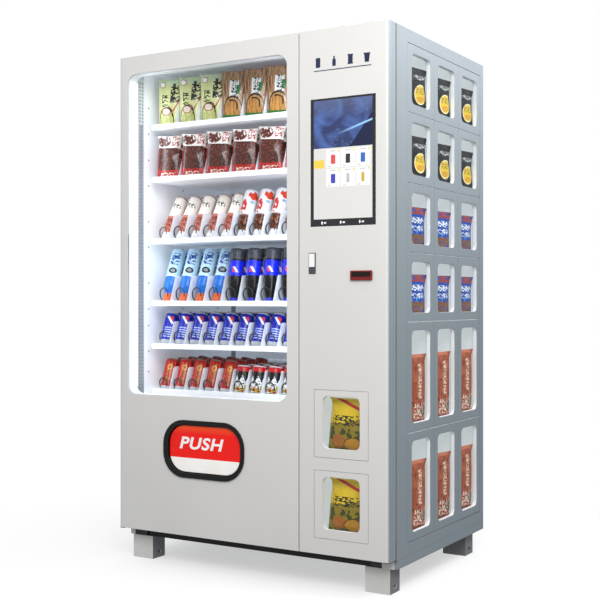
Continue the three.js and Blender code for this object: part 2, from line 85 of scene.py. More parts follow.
class Graph:
    """The nodes of a new material or of a given tree. Inputs are numbers, colours or sockets."""

    def __init__(self, name=None, tree=None):
        if name:
            self.material = bpy.data.materials.new(name)
            self.material.use_nodes = True
            tree = self.material.node_tree
        self.tree = tree
        self.tree.nodes.clear()
        coordinates = self.add("TexCoord").outputs
        self.place = coordinates["Object"]
        self.x, self.y, self.height = self.split(self.place)
        self.u, self.v, _ = self.split(coordinates["UV"])
        self.normal_x, _, self.normal_z = self.split(coordinates["Normal"])
        self.upward = self.split(coordinates["Generated"])[2]

    def split(self, vector):
        return self.add("SeparateXYZ", {0: vector}).outputs

    def add(self, kind, inputs=None, **settings):
        node = self.tree.nodes.new("ShaderNode" + kind)
        for key, value in settings.items():
            setattr(node, key, value)
        for key, value in (inputs or {}).items():
            self.put(node.inputs[key], value)
        return node

    def put(self, socket, value):
        if isinstance(value, bpy.types.NodeSocket):
            self.tree.links.new(value, socket)
        else:
            socket.default_value = value

    def math(self, operation, *values):
        return self.add("Math", dict(enumerate(values)), operation=operation).outputs[0]

    def plus(self, a, b):
        return self.math("ADD", a, b)

    def minus(self, a, b):
        return self.math("SUBTRACT", a, b)

    def times(self, a, b):
        return self.math("MULTIPLY", a, b)

    def greater(self, a, b):
        return self.math("MAXIMUM", a, b)

    def absolute(self, value):
        return self.math("ABSOLUTE", value)

    def line(self, value, slope, start):
        return self.math("MULTIPLY_ADD", value, slope, start)

    def mix(self, mask, under, over):
        return self.add("Mix", {0: mask, 6: under, 7: over}, data_type="RGBA").outputs[2]

    def spread(self, value, low, high, start=0.0, end=1.0):
        """Maps low..high to start..end, clamped."""
        return self.add("MapRange", {0: value, 1: low, 2: high, 3: start, 4: end}).outputs[0]

    def noise(self, scale, detail=3.0, vector=None, stretch=(1, 1, 1), distortion=0.0):
        source = self.add("Mapping", {"Vector": vector or self.place, "Scale": stretch}).outputs[0]
        inputs = {"Vector": source, "Scale": scale, "Detail": detail, "Distortion": distortion}
        return self.add("TexNoise", inputs).outputs[0]

    def label_noise(self, scale, detail=2.0, stretch=(1, 1, 1)):
        """Noise over a label's own u and v, the same on every copy."""
        flat = self.add("CombineXYZ", {0: self.u, 1: self.v}).outputs[0]
        return self.noise(scale, detail, flat, stretch)

    def over(self, value, limit):
        return self.math("GREATER_THAN", value, limit)

    def under(self, value, limit):
        return self.math("LESS_THAN", value, limit)

    def within(self, value, low, high):
        return self.times(self.over(value, low), self.under(value, high))

    def above(self, v):
        return self.over(self.v, v)

    def below(self, v):
        return self.under(self.v, v)

    def band(self, v0, v1):
        return self.within(self.v, v0, v1)

    def spots(self, limit, *noise):
        return self.over(self.label_noise(*noise), limit)

    def rect(self, u0, u1, v0, v1):
        return self.times(self.within(self.u, u0, u1), self.band(v0, v1))

    def disc(self, cu, cv, ru, rv):
        du = self.math("DIVIDE", self.minus(self.u, cu), ru)
        dv = self.math("DIVIDE", self.minus(self.v, cv), rv)
        square = self.plus(self.times(du, du), self.times(dv, dv))
        return self.under(square, 1.0)

    def ring(self, cu, cv, ru, rv, share=0.85):
        outer = self.disc(cu, cv, ru, rv)
        return self.minus(outer, self.disc(cu, cv, ru * share, rv * share))

    def slanted(self, slope, low, high):
        """A band across the label where v - slope * u lies between low and high."""
        return self.within(self.minus(self.v, self.times(self.u, slope)), low, high)

    def strokes(self, u0, u1, v0, v1, scale=11, width=0.035):
        """Loose brush strokes that form no letters."""
        wander = self.label_noise(scale, 0.6, (1, 1.7, 1))
        return self.times(self.rect(u0, u1, v0, v1), self.within(wander, 0.5 - width, 0.5 + width))

    def paint(self, base, layers):
        for mask, colour in layers:
            base = self.mix(mask, base, linear(colour) if isinstance(colour, str) else colour)
        return base

    def finish(self, colour, roughness, height, strength, distance=0.001, **extra):
        bump = self.add("Bump", {"Height": height, "Strength": strength, "Distance": distance})
        named = {key.replace("_", " "): value for key, value in extra.items()}
        surface = self.add("BsdfPrincipled", {
            "Base Color": colour, "Roughness": roughness, "Normal": bump.outputs[0], **named})
        self.add("OutputMaterial", {"Surface": surface.outputs[0]})
        return self.material


def painted_shading(share=0.0, bend=1.0, rear=0.0, dark=(0.45, 0.45, 0.45)):
    """Painted shade on a coat: share at the floor, how early that comes, share at the back, dark end."""
    return {"share": share, "bend": bend, "rear": rear, "dark": dark}


# Painted shade: how much each coat darkens towards the floor and the back, where less light falls.
NO_PAINTED_SHADE = painted_shading()
FRONT_PAINTED_SHADE = painted_shading(0.20)
SIDE_PAINTED_SHADE = painted_shading(0.90, 3.1, 0.09, (0.405, 0.455, 0.475))
PANEL_PAINTED_SHADE = painted_shading(0.35)
CELL_PAINTED_SHADE = painted_shading(0.4)


def coat(g, clouds, colour, painted_shade):
    """A clouded colour with painted shade that darkens it towards the floor and the back."""
    base = g.mix(g.times(clouds, 0.5), colour, scaled(colour, 0.94))
    rise = g.math("POWER", g.spread(g.height, 0.1, 1.9), painted_shade["bend"])
    fall = g.times(g.minus(1.0, rise), painted_shade["share"])
    shade = g.plus(fall, g.spread(g.y, -0.4, 0.43, 0.0, painted_shade["rear"]))
    return g.mix(shade, base, toned(colour, painted_shade["dark"]))


def painted(name, colour, roughness=0.42, grain=900, strength=0.12, wear=0.5, dust=0.12, painted_shade=NO_PAINTED_SHADE,
            other=None, **extra):
    """Powder coat or moulded plastic: clouded colour, orange peel, faint rub marks, dust near the floor,
    painted shade.

    `other` returns (mask, colour, painted shade) for each stretch of the piece that has another colour.
    """
    g = Graph(name)
    clouds = g.spread(g.noise(2.2, 5), 0.35, 0.65)
    peel = g.noise(grain, 2)
    rubs = g.spread(g.noise(9, 6, stretch=(1, 1, 6), distortion=0.6), 0.62, 0.74)
    speck = g.spread(g.noise(260, 1), 0.70, 0.74)
    low = g.spread(g.height, 0.0, 0.45, 1.0, 0.0)
    base = coat(g, clouds, colour, painted_shade)
    for mask, second, second_painted_shade in other(g) if other else ():
        base = g.mix(mask, base, coat(g, clouds, second, second_painted_shade))
    base = g.mix(g.times(g.times(rubs, 0.05), wear), base, (1, 1, 1, 1))
    base = g.mix(g.times(g.times(speck, 0.12), wear), base, scaled(colour, 0.6))
    dirty = g.times(g.times(low, low), g.times(clouds, dust))
    base = g.mix(dirty, base, linear("8d8880"))
    worn = g.line(rubs, 0.1 * wear, g.spread(clouds, 0, 1, roughness - 0.04, roughness + 0.05))
    return g.finish(base, worn, peel, strength, 0.0004, **extra)


def clean(name, code, roughness, grain, strength, **extra):
    """A painted or moulded finish of an indoor piece, with little wear and no dust."""
    return painted(name, linear(code), roughness, grain, strength, 0.3, 0, **extra)


def metal(name, colour, roughness=0.35, brushed=(1, 1, 1), strength=0.15):
    """Bare or plated steel with a drawn grain and clouded roughness."""
    g = Graph(name)
    grain = g.noise(400, 3, stretch=brushed)
    clouds = g.spread(g.noise(14, 4), 0.35, 0.7)
    base = g.mix(clouds, colour, scaled(colour, 0.8))
    rough = g.line(clouds, 0.12, g.spread(grain, 0.3, 0.7, roughness - 0.05, roughness + 0.05))
    return g.finish(base, rough, grain, strength, 0.0003, Metallic=1.0)


def clear_sheet(name, tint, shine):
    """Glass or acrylic: clear, with a Fresnel reflection and faint smears."""
    g = Graph(name)
    smear = g.spread(g.noise(6, 5, distortion=0.8), 0.5, 0.75)
    bump = g.add("Bump", {"Height": g.noise(3, 1), "Strength": 0.02, "Distance": 0.002})
    facing = g.add("Fresnel", {"IOR": 1.45, "Normal": bump.outputs[0]}).outputs[0]
    outward = g.minus(1.0, g.add("NewGeometry").outputs["Backfacing"])
    share = g.times(g.line(smear, 0.008, g.times(facing, shine)), outward)
    glossy = g.add("BsdfGlossy", {"Roughness": g.spread(smear, 0, 1, 0.02, 0.2), "Normal": bump.outputs[0]})
    clear = g.add("BsdfTransparent", {"Color": g.mix(smear, tint, scaled(tint, 0.985))})
    mixed = g.add("MixShader", {0: share, 1: clear.outputs[0], 2: glossy.outputs[0]})
    g.add("OutputMaterial", {"Surface": mixed.outputs[0]})
    return g.material


def glowing(name, colour, strength):
    """A lit diffuser, a little dimmer towards its ends and edges."""
    g = Graph(name)
    uneven = g.spread(g.noise(30, 2), 0.3, 0.7, 0.9 * strength, strength)
    return g.finish(colour, 0.5, g.noise(500, 1), 0.05, Emission_Color=colour, Emission_Strength=uneven)


def label(name, base, draw, roughness, crinkle, **extra):
    """Printed packaging. `draw` returns the printed layers as (mask, colour), from the lowest up."""
    g = Graph(name)
    island = g.add("NewGeometry").outputs["Random Per Island"]
    ground = linear(base)
    ground = g.mix(g.spread(g.label_noise(5, 3), 0.3, 0.7, 0, 0.35), ground, scaled(ground, 0.8))
    colour = g.paint(ground, draw(g))
    colour = g.add("Gamma", {0: colour, 1: 1.35}).outputs[0]
    colour = g.mix(g.times(island, 0.10), colour, (0, 0, 0, 1))
    folds = g.noise(60, 4, distortion=1.2)
    rough = g.spread(folds, 0.3, 0.7, roughness - 0.08, roughness + 0.1)
    return g.finish(colour, rough, folds, crinkle, 0.003, **extra)


# ---------- mesh building ----------
class Form:
    """A mesh in the making: vertices, faces, and a (u, v) for every corner of every face."""

    def __init__(self, vertices, faces, uvs=None):
        self.vertices = np.array(vertices, float)
        self.faces = faces
        self.uvs = uvs or [(0.5, 0.5)] * sum(len(face) for face in faces)


def mesh_of(name, form):
    mesh = bpy.data.meshes.new(name)
    mesh.from_pydata(form.vertices.tolist(), [], form.faces)
    mesh.uv_layers.new(name="label").data.foreach_set("uv", np.array(form.uvs, np.float32).ravel())
    return mesh


def linked(name, data):
    """A new object in the scene."""
    made = bpy.data.objects.new(name, data)
    bpy.context.scene.collection.objects.link(made)
    return made


def evaluated(item):
    """The object as its modifiers or its curve settings leave it."""
    bpy.context.view_layer.update()
    return item.evaluated_get(bpy.context.evaluated_depsgraph_get())


def build(name, entries, materials, body, smooth_below=35):
    """One piece that rides on `body`, made of (form, matrix, material number) entries."""
    vertices, faces, uvs, numbers = [], [], [], []
    for form, matrix, number in entries:
        offset = sum(len(block) for block in vertices)
        turn = np.array(matrix)
        vertices.append(form.vertices @ turn[:3, :3].T + turn[:3, 3])
        faces += [tuple(index + offset for index in face) for face in form.faces]
        uvs += form.uvs
        numbers += [number] * len(form.faces)
    mesh = mesh_of(name, Form(np.concatenate(vertices), faces, uvs))
    mesh.polygons.foreach_set("material_index", numbers)
    return place(name, mesh, materials, body, smooth_below)


def place(name, mesh, materials, body, smooth_below=35):
    for material in materials:
        mesh.materials.append(material)
    mesh.shade_smooth()
    mesh.set_sharp_from_angle(angle=math.radians(smooth_below))
    piece = linked(name, mesh)
    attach(piece, body)
    return piece


def rectangle(x0, x1, y0, y1):
    return [(x0, y0), (x1, y0), (x1, y1), (x0, y1)]


def arc(x, y, radius, start, end, steps):
    angles = [math.radians(start + (end - start) * i / steps) for i in range(steps + 1)]
    return [(x + radius * math.cos(a), y + radius * math.sin(a)) for a in angles]


def circle(x, y, radius, steps=20):
    return arc(x, y, radius, 0, 360, steps)[:-1]


def rounded(x0, x1, y0, y1, radius, steps=6):
    corners = ((x1, y0, -90), (x1, y1, 0), (x0, y1, 90), (x0, y0, 180))
    points = []
    for x, y, start in corners:
        cx = x - radius if x == x1 else x + radius
        cy = y - radius if y == y1 else y + radius
        points += arc(cx, cy, radius, start, start + 90, steps)
    return points


def mirrored(half):
    """A closed outline from its right half, given from the bottom up."""
    return half + [(-x, y) for x, y in reversed(half)]


def facing(side, offset):
    """The plane that a flat drawing is laid on. Its third axis points out of the machine's face."""
    axes = {
        "front": ((1, 0, 0), (0, 0, 1), (0, -1, 0), (0, offset, 0)),
        "back": ((-1, 0, 0), (0, 0, 1), (0, 1, 0), (0, offset, 0)),
        "right": ((0, 1, 0), (0, 0, 1), (1, 0, 0), (offset, 0, 0)),
        "left": ((0, -1, 0), (0, 0, 1), (-1, 0, 0), (offset, 0, 0)),
        "up": ((1, 0, 0), (0, 1, 0), (0, 0, 1), (0, 0, offset)),
    }[side]
    rows = [[axis[row] for axis in axes] for row in range(3)]
    return Matrix(rows + [[0, 0, 0, 1]])


def merged(mesh):
    """Joins the fill of a curve to its edges and points every face outwards."""
    work = bmesh.new()
    work.from_mesh(mesh)
    bmesh.ops.remove_doubles(work, verts=work.verts, dist=1e-6)
    bmesh.ops.recalc_face_normals(work, faces=work.faces)
    work.to_mesh(mesh)
    work.free()
    return mesh


def curve_mesh(data):
    holder = linked("holder", data)
    mesh = bpy.data.meshes.new_from_object(evaluated(holder))
    bpy.data.objects.remove(holder)
    return merged(mesh)


def sheet(name, outlines, thickness, edge=0.0):
    """A flat plate with holes, whose back lies on its plane."""
    data = bpy.data.curves.new(name, "CURVE")
    data.dimensions, data.fill_mode = "2D", "BOTH"
    data.extrude = thickness / 2 - edge
    data.bevel_depth, data.bevel_resolution, data.offset = edge, 1, -edge
    for outline in outlines:
        spline = data.splines.new("POLY")
        spline.points.add(len(outline) - 1)
        spline.points.foreach_set("co", [c for x, y in outline for c in (x, y, 0, 1)])
        spline.use_cyclic_u = True
    mesh = curve_mesh(data)
    mesh.transform(Matrix.Translation((0, 0, thickness / 2)))
    return mesh


def plate(name, outlines, thickness, matrix, material, body, edge=0.0):
    mesh = sheet(name, outlines, thickness, edge)
    mesh.transform(matrix)
    return place(name, mesh, [material], body, 35)


def rods(name, paths, radius, material, body, sides=3):
    """Round wire or pipe along each path of points."""
    data = bpy.data.curves.new(name, "CURVE")
    data.dimensions = "3D"
    data.bevel_depth, data.bevel_resolution, data.use_fill_caps = radius, sides, True
    for path in paths:
        spline = data.splines.new("POLY")
        spline.points.add(len(path) - 1)
        spline.points.foreach_set("co", [c for point in path for c in (*point, 1)])
    return place(name, curve_mesh(data), [material], body, 50)


def lathe(profile, sides=20):
    """A closed form turned about z from (radius, height) points, the first and last on the axis."""
    top = profile[-1][1]
    vertices = [(0, 0, profile[0][1])]
    for radius, height in profile[1:-1]:
        angles = [2 * math.pi * i / sides for i in range(sides)]
        vertices += [(radius * math.sin(a), radius * math.cos(a), height) for a in angles]
    vertices.append((0, 0, top))
    rings = len(profile) - 2
    faces, uvs = [], []
    for i in range(sides):
        j = (i + 1) % sides
        u0, u1 = i / sides, (i + 1) / sides
        faces.append((0, 1 + i, 1 + j))
        uvs += [(u0, 0), (u0, profile[1][1] / top), (u1, profile[1][1] / top)]
        for ring in range(rings - 1):
            a, b = 1 + ring * sides, 1 + (ring + 1) * sides
            v0, v1 = profile[ring + 1][1] / top, profile[ring + 2][1] / top
            faces.append((a + j, a + i, b + i, b + j))
            uvs += [(u1, v0), (u0, v0), (u0, v1), (u1, v1)]
        last = 1 + (rings - 1) * sides
        faces.append((len(vertices) - 1, last + j, last + i))
        uvs += [(u0, 1), (u1, profile[-2][1] / top), (u0, profile[-2][1] / top)]
    return Form(vertices, faces, uvs)


def helix(radius, pitch, turns, wire, steps_per_turn=14, sides=6):
    """A coil along +y that starts at its right, as the frame's own coils do."""
    vertices, faces = [], []
    steps = int(turns * steps_per_turn)
    for i in range(steps + 1):
        angle = 2 * math.pi * i / steps_per_turn
        out = Vector((math.cos(angle), 0, math.sin(angle)))
        along = Vector((-radius * out.z, pitch / (2 * math.pi), radius * out.x)).normalized()
        across = along.cross(out)
        centre = out * radius + Vector((0, pitch * i / steps_per_turn, 0))
        for k in range(sides):
            turn = 2 * math.pi * k / sides
            vertices.append(centre + wire * (math.cos(turn) * out + math.sin(turn) * across))
        if i:
            a, b = (i - 1) * sides, i * sides
            faces += [(a + k, a + (k + 1) % sides, b + (k + 1) % sides, b + k) for k in range(sides)]
    faces.append(tuple(reversed(range(sides))))
    faces.append(tuple(range(steps * sides, (steps + 1) * sides)))
    return Form(vertices, faces)


def screw_heads(name, spots, direction, offset, radius, material, body):
    """Domed screw heads at (u, v) spots on a face."""
    curve = ((1, 0), (0.95, 0.25), (0.6, 0.48), (0, 0.55))
    dome = lathe([(0, -0.0002), *((radius * out, radius * rise) for out, rise in curve)], 12)
    entries = [(dome, facing(direction, offset) @ Matrix.Translation((u, v, 0)), 0) for u, v in spots]
    build(name, entries, [material], body)


# ---------- finishes ----------
RECORD_COLOUR = {m["slot"]: tuple(m["base_color"][:3]) + (1.0,) for m in frame["record"]["materials"]}
LED_TINT = (0.80, 0.88, 1.0, 1.0)
# The side grey is partly the sides' own paint and partly painted shade, as the sides lie in shade.
SIDE_GREY = toned(RECORD_COLOUR["side_paint"], (0.97, 1.0, 1.01))


def foot_painted_shade(g):
    """Painted shade: a darker grey on the cheeks of the feet, and all over the rear feet."""
    dark = g.greater(g.over(g.absolute(g.normal_x), 0.5), g.over(g.y, 0.0))
    return [(dark, toned(RECORD_COLOUR["foot_paint"], (0.28, 0.31, 0.34)), NO_PAINTED_SHADE)]


PLAIN_SLOTS = {  # share of the record's colour, roughness, grain, strength of the grain, wear, dust
    "inner_white": (1, 0.4, 1400, 0.06, 0.2, 0),
    "white_steel": (1, 0.35, 1400, 0.05, 0.3, 0),
    "black_plastic": (0.45, 0.42, 1800, 0.1, 0.6, 0.1),
    "dark_steel": (1, 0.45, 700, 0.15, 1.0, 0.1),
    "compressor_black": (1, 0.4, 300, 0.5, 1.0, 0.3),
    "wire_black": (0.5, 0.5, 1500, 0.05, 0.4, 0),
    "screen_black": (1, 0.12, 2000, 0.02, 0.2, 0),
    "handle_white": (1, 0.25, 1500, 0.05, 0.6, 0),
}
# Painted light: the inner liner and the white steel glow faintly in the lamps' tint, though they are no
# lamps.
PAINTED_GLOW_INSIDE = {"Emission_Color": LED_TINT, "Emission_Strength": 0.11}
PLAIN_SLOT_EXTRAS = {
    "inner_white": PAINTED_GLOW_INSIDE,
    "white_steel": PAINTED_GLOW_INSIDE,
    "black_plastic": {"Specular_IOR_Level": 0.25},
}


def slot_finishes():
    c = RECORD_COLOUR
    made = {slot: painted(slot, scaled(c[slot], share), *numbers, **PLAIN_SLOT_EXTRAS.get(slot, {}))
            for slot, (share, *numbers) in PLAIN_SLOTS.items()}
    # Painted light: the feet get a lighter copy of their paint for their lit fronts; their cheeks and the
    # rear feet get painted shade.
    foot = scaled(c["foot_paint"], 1.45)
    made["front_paint"] = painted("front_paint", c["front_paint"], 0.38, painted_shade=FRONT_PAINTED_SHADE, Coat_Weight=0.15)
    made["side_paint"] = painted("side_paint", SIDE_GREY, 0.42, painted_shade=SIDE_PAINTED_SHADE)
    made["foot_paint"] = painted("foot_paint", foot, 0.5, 700, 0.2, 1.2, 0.3, other=foot_painted_shade)
    made["bright_metal"] = metal("bright_metal", c["bright_metal"], 0.35, (40, 1, 1), 0.5)
    made["push_red"] = push_finish(c["push_red"])
    made["clear_glass"] = clear_sheet("clear_glass", (0.985, 0.995, 1.0, 1.0), 0.4)
    made["scanner_red"] = scanner_finish(c["scanner_red"])
    return made


def push_finish(colour):
    """Glossy red plastic, more orange towards the top edge as a painted highlight, with a white band along
    the bottom.
    """
    g = Graph("push_red")
    band_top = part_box("push_flap")[0].z + 0.052
    red = g.mix(g.spread(g.noise(12, 3), 0.3, 0.7, 0.0, 0.3), colour, scaled(colour, 0.8))
    # Painted highlight: more orange towards the top edge.
    red = g.mix(g.spread(g.height, band_top + 0.09, band_top + 0.125), red, linear("ff5b28"))
    white = g.mix(g.spread(g.noise(20, 3), 0.3, 0.7, 0.0, 0.2), linear("fffdf9"), linear("e4dcd6"))
    base = g.mix(g.under(g.height, band_top), red, white)
    scuffs = g.spread(g.noise(40, 6, stretch=(1, 1, 4)), 0.55, 0.75, 0.16, 0.34)
    return g.finish(base, scuffs, g.noise(900, 2), 0.05, 0.0004, Coat_Weight=0.15, Specular_IOR_Level=0.25)


def scanner_finish(colour):
    """Smoked red plastic with painted light and shade: a bright lower lip and a dark window above it."""
    g = Graph("scanner_red")
    low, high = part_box("code_scanner")
    rise = g.spread(g.height, low.z, high.z)
    along = g.spread(g.x, low.x, high.x)
    window = g.times(g.within(rise, 0.34, 0.86), g.within(along, 0.06, 0.94))
    lip = g.mix(g.spread(g.noise(60, 3), 0.35, 0.65, 0.0, 0.4), scaled(colour, 1.1), scaled(colour, 0.6))
    base = g.mix(window, lip, scaled(colour, 0.05))
    return g.finish(base, g.spread(g.noise(30, 4), 0.3, 0.7, 0.12, 0.25), g.noise(900, 1), 0.03, 0.0003,
                    Coat_Weight=0.2, Specular_IOR_Level=0.3)


SKIN = 0.0015  # how far the outer colour reaches in from a face


def door_side_painted_shade(g):
    """Painted shade: side grey on the outer sides of both doors, behind the round of their edges."""
    low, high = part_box("glass_door_frame")[0].x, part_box("control_door")[1].x
    edge = 0.014
    outer = g.plus(g.over(g.x, high - edge), g.under(g.x, low + edge))
    steep = g.spread(g.absolute(g.normal_x), 0.45, 0.85)
    return [(g.times(outer, steep), SIDE_GREY, SIDE_PAINTED_SHADE)]


def base_side_shade_and_black_strip(g):
    """Painted shade in side grey on the sides of the base frame, and black on its front next to the kick
    strip.
    """
    low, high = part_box("base_frame")
    side = g.greater(g.over(g.y, low.y + 0.03), g.over(g.absolute(g.normal_x), 0.6))
    middle = g.within(g.x, low.x + 0.035, high.x - 0.055)
    strip = g.times(middle, g.under(g.y, low.y + 0.03))
    return [(side, SIDE_GREY, SIDE_PAINTED_SHADE), (strip, scaled(RECORD_COLOUR["black_plastic"], 0.45), NO_PAINTED_SHADE)]


def side_door_inside_and_edge_highlight(g):
    """White inside the side locker doors, and a painted highlight in white on their top edges."""
    behind = g.under(g.x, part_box("locker_door_a1")[1].x - SKIN)
    return [(g.greater(behind, g.over(g.normal_z, 0.7)), RECORD_COLOUR["white_steel"], NO_PAINTED_SHADE)]


def behind_front_skin(g):
    """White inside the front locker doors."""
    return [(g.over(g.y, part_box("front_locker_door_1")[0].y + SKIN), RECORD_COLOUR["white_steel"], NO_PAINTED_SHADE)]


def front_edge_seam_shade(g):
    """Painted shade: a dark edge on the side frame, where the doors close against it, that darkens the seam.
    """
    return [(g.under(g.y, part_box("side_frame_right")[0].y + SKIN), linear("2b2d30"), NO_PAINTED_SHADE)]


def node_finishes():
    """Finishes of the nodes that have two colours or a painted glow, most of them with painted shade."""
    front, white = RECORD_COLOUR["front_paint"], RECORD_COLOUR["white_steel"]
    door = painted("door_paint", front, 0.38, painted_shade=FRONT_PAINTED_SHADE, other=door_side_painted_shade, Coat_Weight=0.15)
    # Painted light: the cell walls glow faintly though they are no lamps, and darken towards the floor with
    # painted shade.
    glowing_cell = painted("cell_white_painted_glow", scaled(white, 0.62), 0.4, 1400, 0.05, 0.3, 0, CELL_PAINTED_SHADE,
                   Emission_Color=(0.86, 0.94, 0.93, 1.0), Emission_Strength=0.36)
    side_door = painted("side_locker_paint", SIDE_GREY, 0.42, painted_shade=SIDE_PAINTED_SHADE, other=side_door_inside_and_edge_highlight)
    front_door = painted("front_locker_paint", front, 0.38, painted_shade=FRONT_PAINTED_SHADE, other=behind_front_skin)
    panel = painted("panel_paint", SIDE_GREY, 0.42, painted_shade=PANEL_PAINTED_SHADE)
    side_frame = painted("side_frame_paint", SIDE_GREY, 0.42, painted_shade=SIDE_PAINTED_SHADE, other=front_edge_seam_shade)
    chosen = {
        "side_frame_right": side_frame,
        "base_frame": painted("base_paint", front, 0.4, painted_shade=FRONT_PAINTED_SHADE, other=base_side_shade_and_black_strip),
        "side_panel_left": panel, "back_panel": panel, "top_panel": panel,
        "glass_door_frame": door, "control_door": door,
        "locker_housing": glowing_cell, "front_locker_box": glowing_cell,
    }
    chosen.update(dict.fromkeys(SIDE_DOORS, side_door))
    chosen.update(dict.fromkeys(FRONT_DOORS, front_door))
    return chosen


FINISHES = slot_finishes()
NODE_FINISHES = node_finishes()
FEET = ("foot_front_left", "foot_front_right", "foot_rear_left", "foot_rear_right")
NO_EDGE = ("spiral_tray_1", "spiral_tray_3", "spiral_tray_5", "condenser_fan", "delivery_bin", *FEET)
SOFT_EDGE = dict.fromkeys(SIDE_DOORS, 0.0014)
SOFT_EDGE |= {"push_flap": 0.0035, "push_frame": 0.003, "lock_handle": 0.0015, "code_scanner": 0.002,
             "glass_door_frame": 0.0012, "control_door": 0.0012, "top_panel": 0.0008}


def dress_frame():
    """Gives every CAD node its finish, and rounds its sheet edges with modifiers."""
    for part in frame["record"]["subparts"]:
        node = frame["nodes"][part["node"]]
        mesh = node.data
        for name in ("custom_normal", "sharp_face", "sharp_edge"):
            if mesh.attributes.get(name):
                mesh.attributes.remove(mesh.attributes[name])
        if part["node"] in FEET:
            mesh.shade_flat()
        else:
            mesh.shade_smooth()
        mesh.materials.clear()
        mesh.materials.append(NODE_FINISHES.get(part["node"], FINISHES[part["material_slot"]]))
        weld = node.modifiers.new("weld", "WELD")
        weld.merge_threshold = 1e-5
        if part["node"] not in NO_EDGE:
            edges = node.modifiers.new("edges", "BEVEL")
            edges.width = SOFT_EDGE.get(part["node"], 0.0006)
            edges.segments = 2
            edges.limit_method = "ANGLE"
            edges.angle_limit = math.radians(35)
            edges.harden_normals = True


dress_frame()

# ---------- doors: panes, lamps, seals and covers ----------
PANE_GAP = 0.0004
PANE_THICKNESS = 0.002
SIDE_WINDOW = (0.032, 0.030, 0.030)  # margins at the sides, below and above
FRONT_WINDOW = (0.032, 0.031, 0.020)
LOCKER_WINDOW_RADIUS = 0.022


def window_outline(u0, u1, v0, v1, margins):
    side, below, above = (margin + PANE_GAP for margin in margins)
    return rounded(u0 + side, u1 - side, v0 + below, v1 - above, LOCKER_WINDOW_RADIUS - PANE_GAP)


def add_locker_panes():
    """A clear pane set 3 mm behind the face of each locker door."""
    depth = 0.005
    panes = []
    for door in SIDE_DOORS:
        low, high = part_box(door)
        outline = window_outline(low.y, high.y, low.z, high.z, SIDE_WINDOW)
        panes.append((door, door.replace("locker_door", "pane"), outline, facing("right", high.x - depth)))
    for door in FRONT_DOORS:
        low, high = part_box(door)
        outline = window_outline(low.x, high.x, low.z, high.z, FRONT_WINDOW)
        panes.append((door, door.replace("locker_door", "pane"), outline, facing("front", low.y + depth)))
    for door, name, outline, plane in panes:
        plate(name, [outline], PANE_THICKNESS, plane, FINISHES["clear_glass"], door)


def add_lamps():
    """Two light bars on the reveal of the display window."""
    low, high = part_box("glass_retainer")
    reveal, gap = 0.008, 0.0005
    width, depth, margin = 0.012, 0.016, 0.035
    glow = glowing("lamp_diffuser", (0.93, 0.97, 1.0, 1.0), 0.8)
    starts = {"left": low.x + reveal + gap, "right": high.x - reveal - gap - width}
    for side, x in starts.items():
        outline = rounded(x, x + width, low.z + margin, high.z - margin, width / 2 - 1e-4)
        plate(f"lamp_{side}", [outline], depth, facing("front", low.y + 0.036), glow, "glass_door", 0.002)


def front_outline(box, grow, radius=None):
    """The outline of a box seen from the front, moved out by `grow`."""
    low, high = box
    sides = (low.x - grow, high.x + grow, low.z - grow, high.z + grow)
    return rounded(*sides, radius) if radius else rectangle(*sides)


def add_door_covers():
    """Sheets that close the backs of both door pans, and the soft seals between doors and cabinet."""
    cover_finish = painted("cover_white", linear("d9dcdf"), 0.4, 1200, 0.08, 0.4, 0.1)
    seal_finish = clean("seal_rubber", "151515", 0.6, 500, 0.3)
    inset, sheet_gauge = 0.003, 0.0012
    seal_inset, above_bracket, seal_width, seal_depth = 0.004, 0.020, 0.012, 0.003
    holes = {"glass_door": [front_outline(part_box("glass_retainer"), 0.004, 0.05),
                            front_outline(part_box("push_frame"), 0.005, 0.09)],
             "control_door": [front_outline(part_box("front_locker_box"), 0.002)]}
    for body, node in (("glass_door", "glass_door_frame"), ("control_door", "control_door")):
        low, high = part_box(node)
        plate(f"{body}_back", [front_outline((low, high), -inset), *holes[body]], sheet_gauge,
              facing("front", high.y - 0.002), cover_finish, body)
        ring = []
        for margin, radius in ((seal_inset, 0.02), (seal_inset + seal_width, 0.01)):
            bottom = low.z + above_bracket + margin - seal_inset
            ring.append(rounded(low.x + margin, high.x - margin, bottom, high.z - margin, radius))
        plate(f"{body}_seal", ring, seal_depth, facing("front", high.y + 0.0034), seal_finish, body, 0.0008)


def add_seam_shade_strips():
    """Painted shade: a dark strip down the middle of the seam round each front locker door."""
    seam, depth = 0.001, 0.008
    seam_shade_finish = clean("gasket_rubber", "1a1a1a", 0.6, 500, 0.3)
    for number, door in enumerate(FRONT_DOORS, 1):
        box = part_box(door)
        outlines = [front_outline(box, 0.9 * seam), front_outline(box, 0.2 * seam)]
        plane = facing("front", box[0].y + depth + 0.0003)
        plate(f"gasket_{number}", outlines, depth, plane, seam_shade_finish, "control_door")


add_locker_panes()
add_lamps()
add_door_covers()
add_seam_shade_strips()


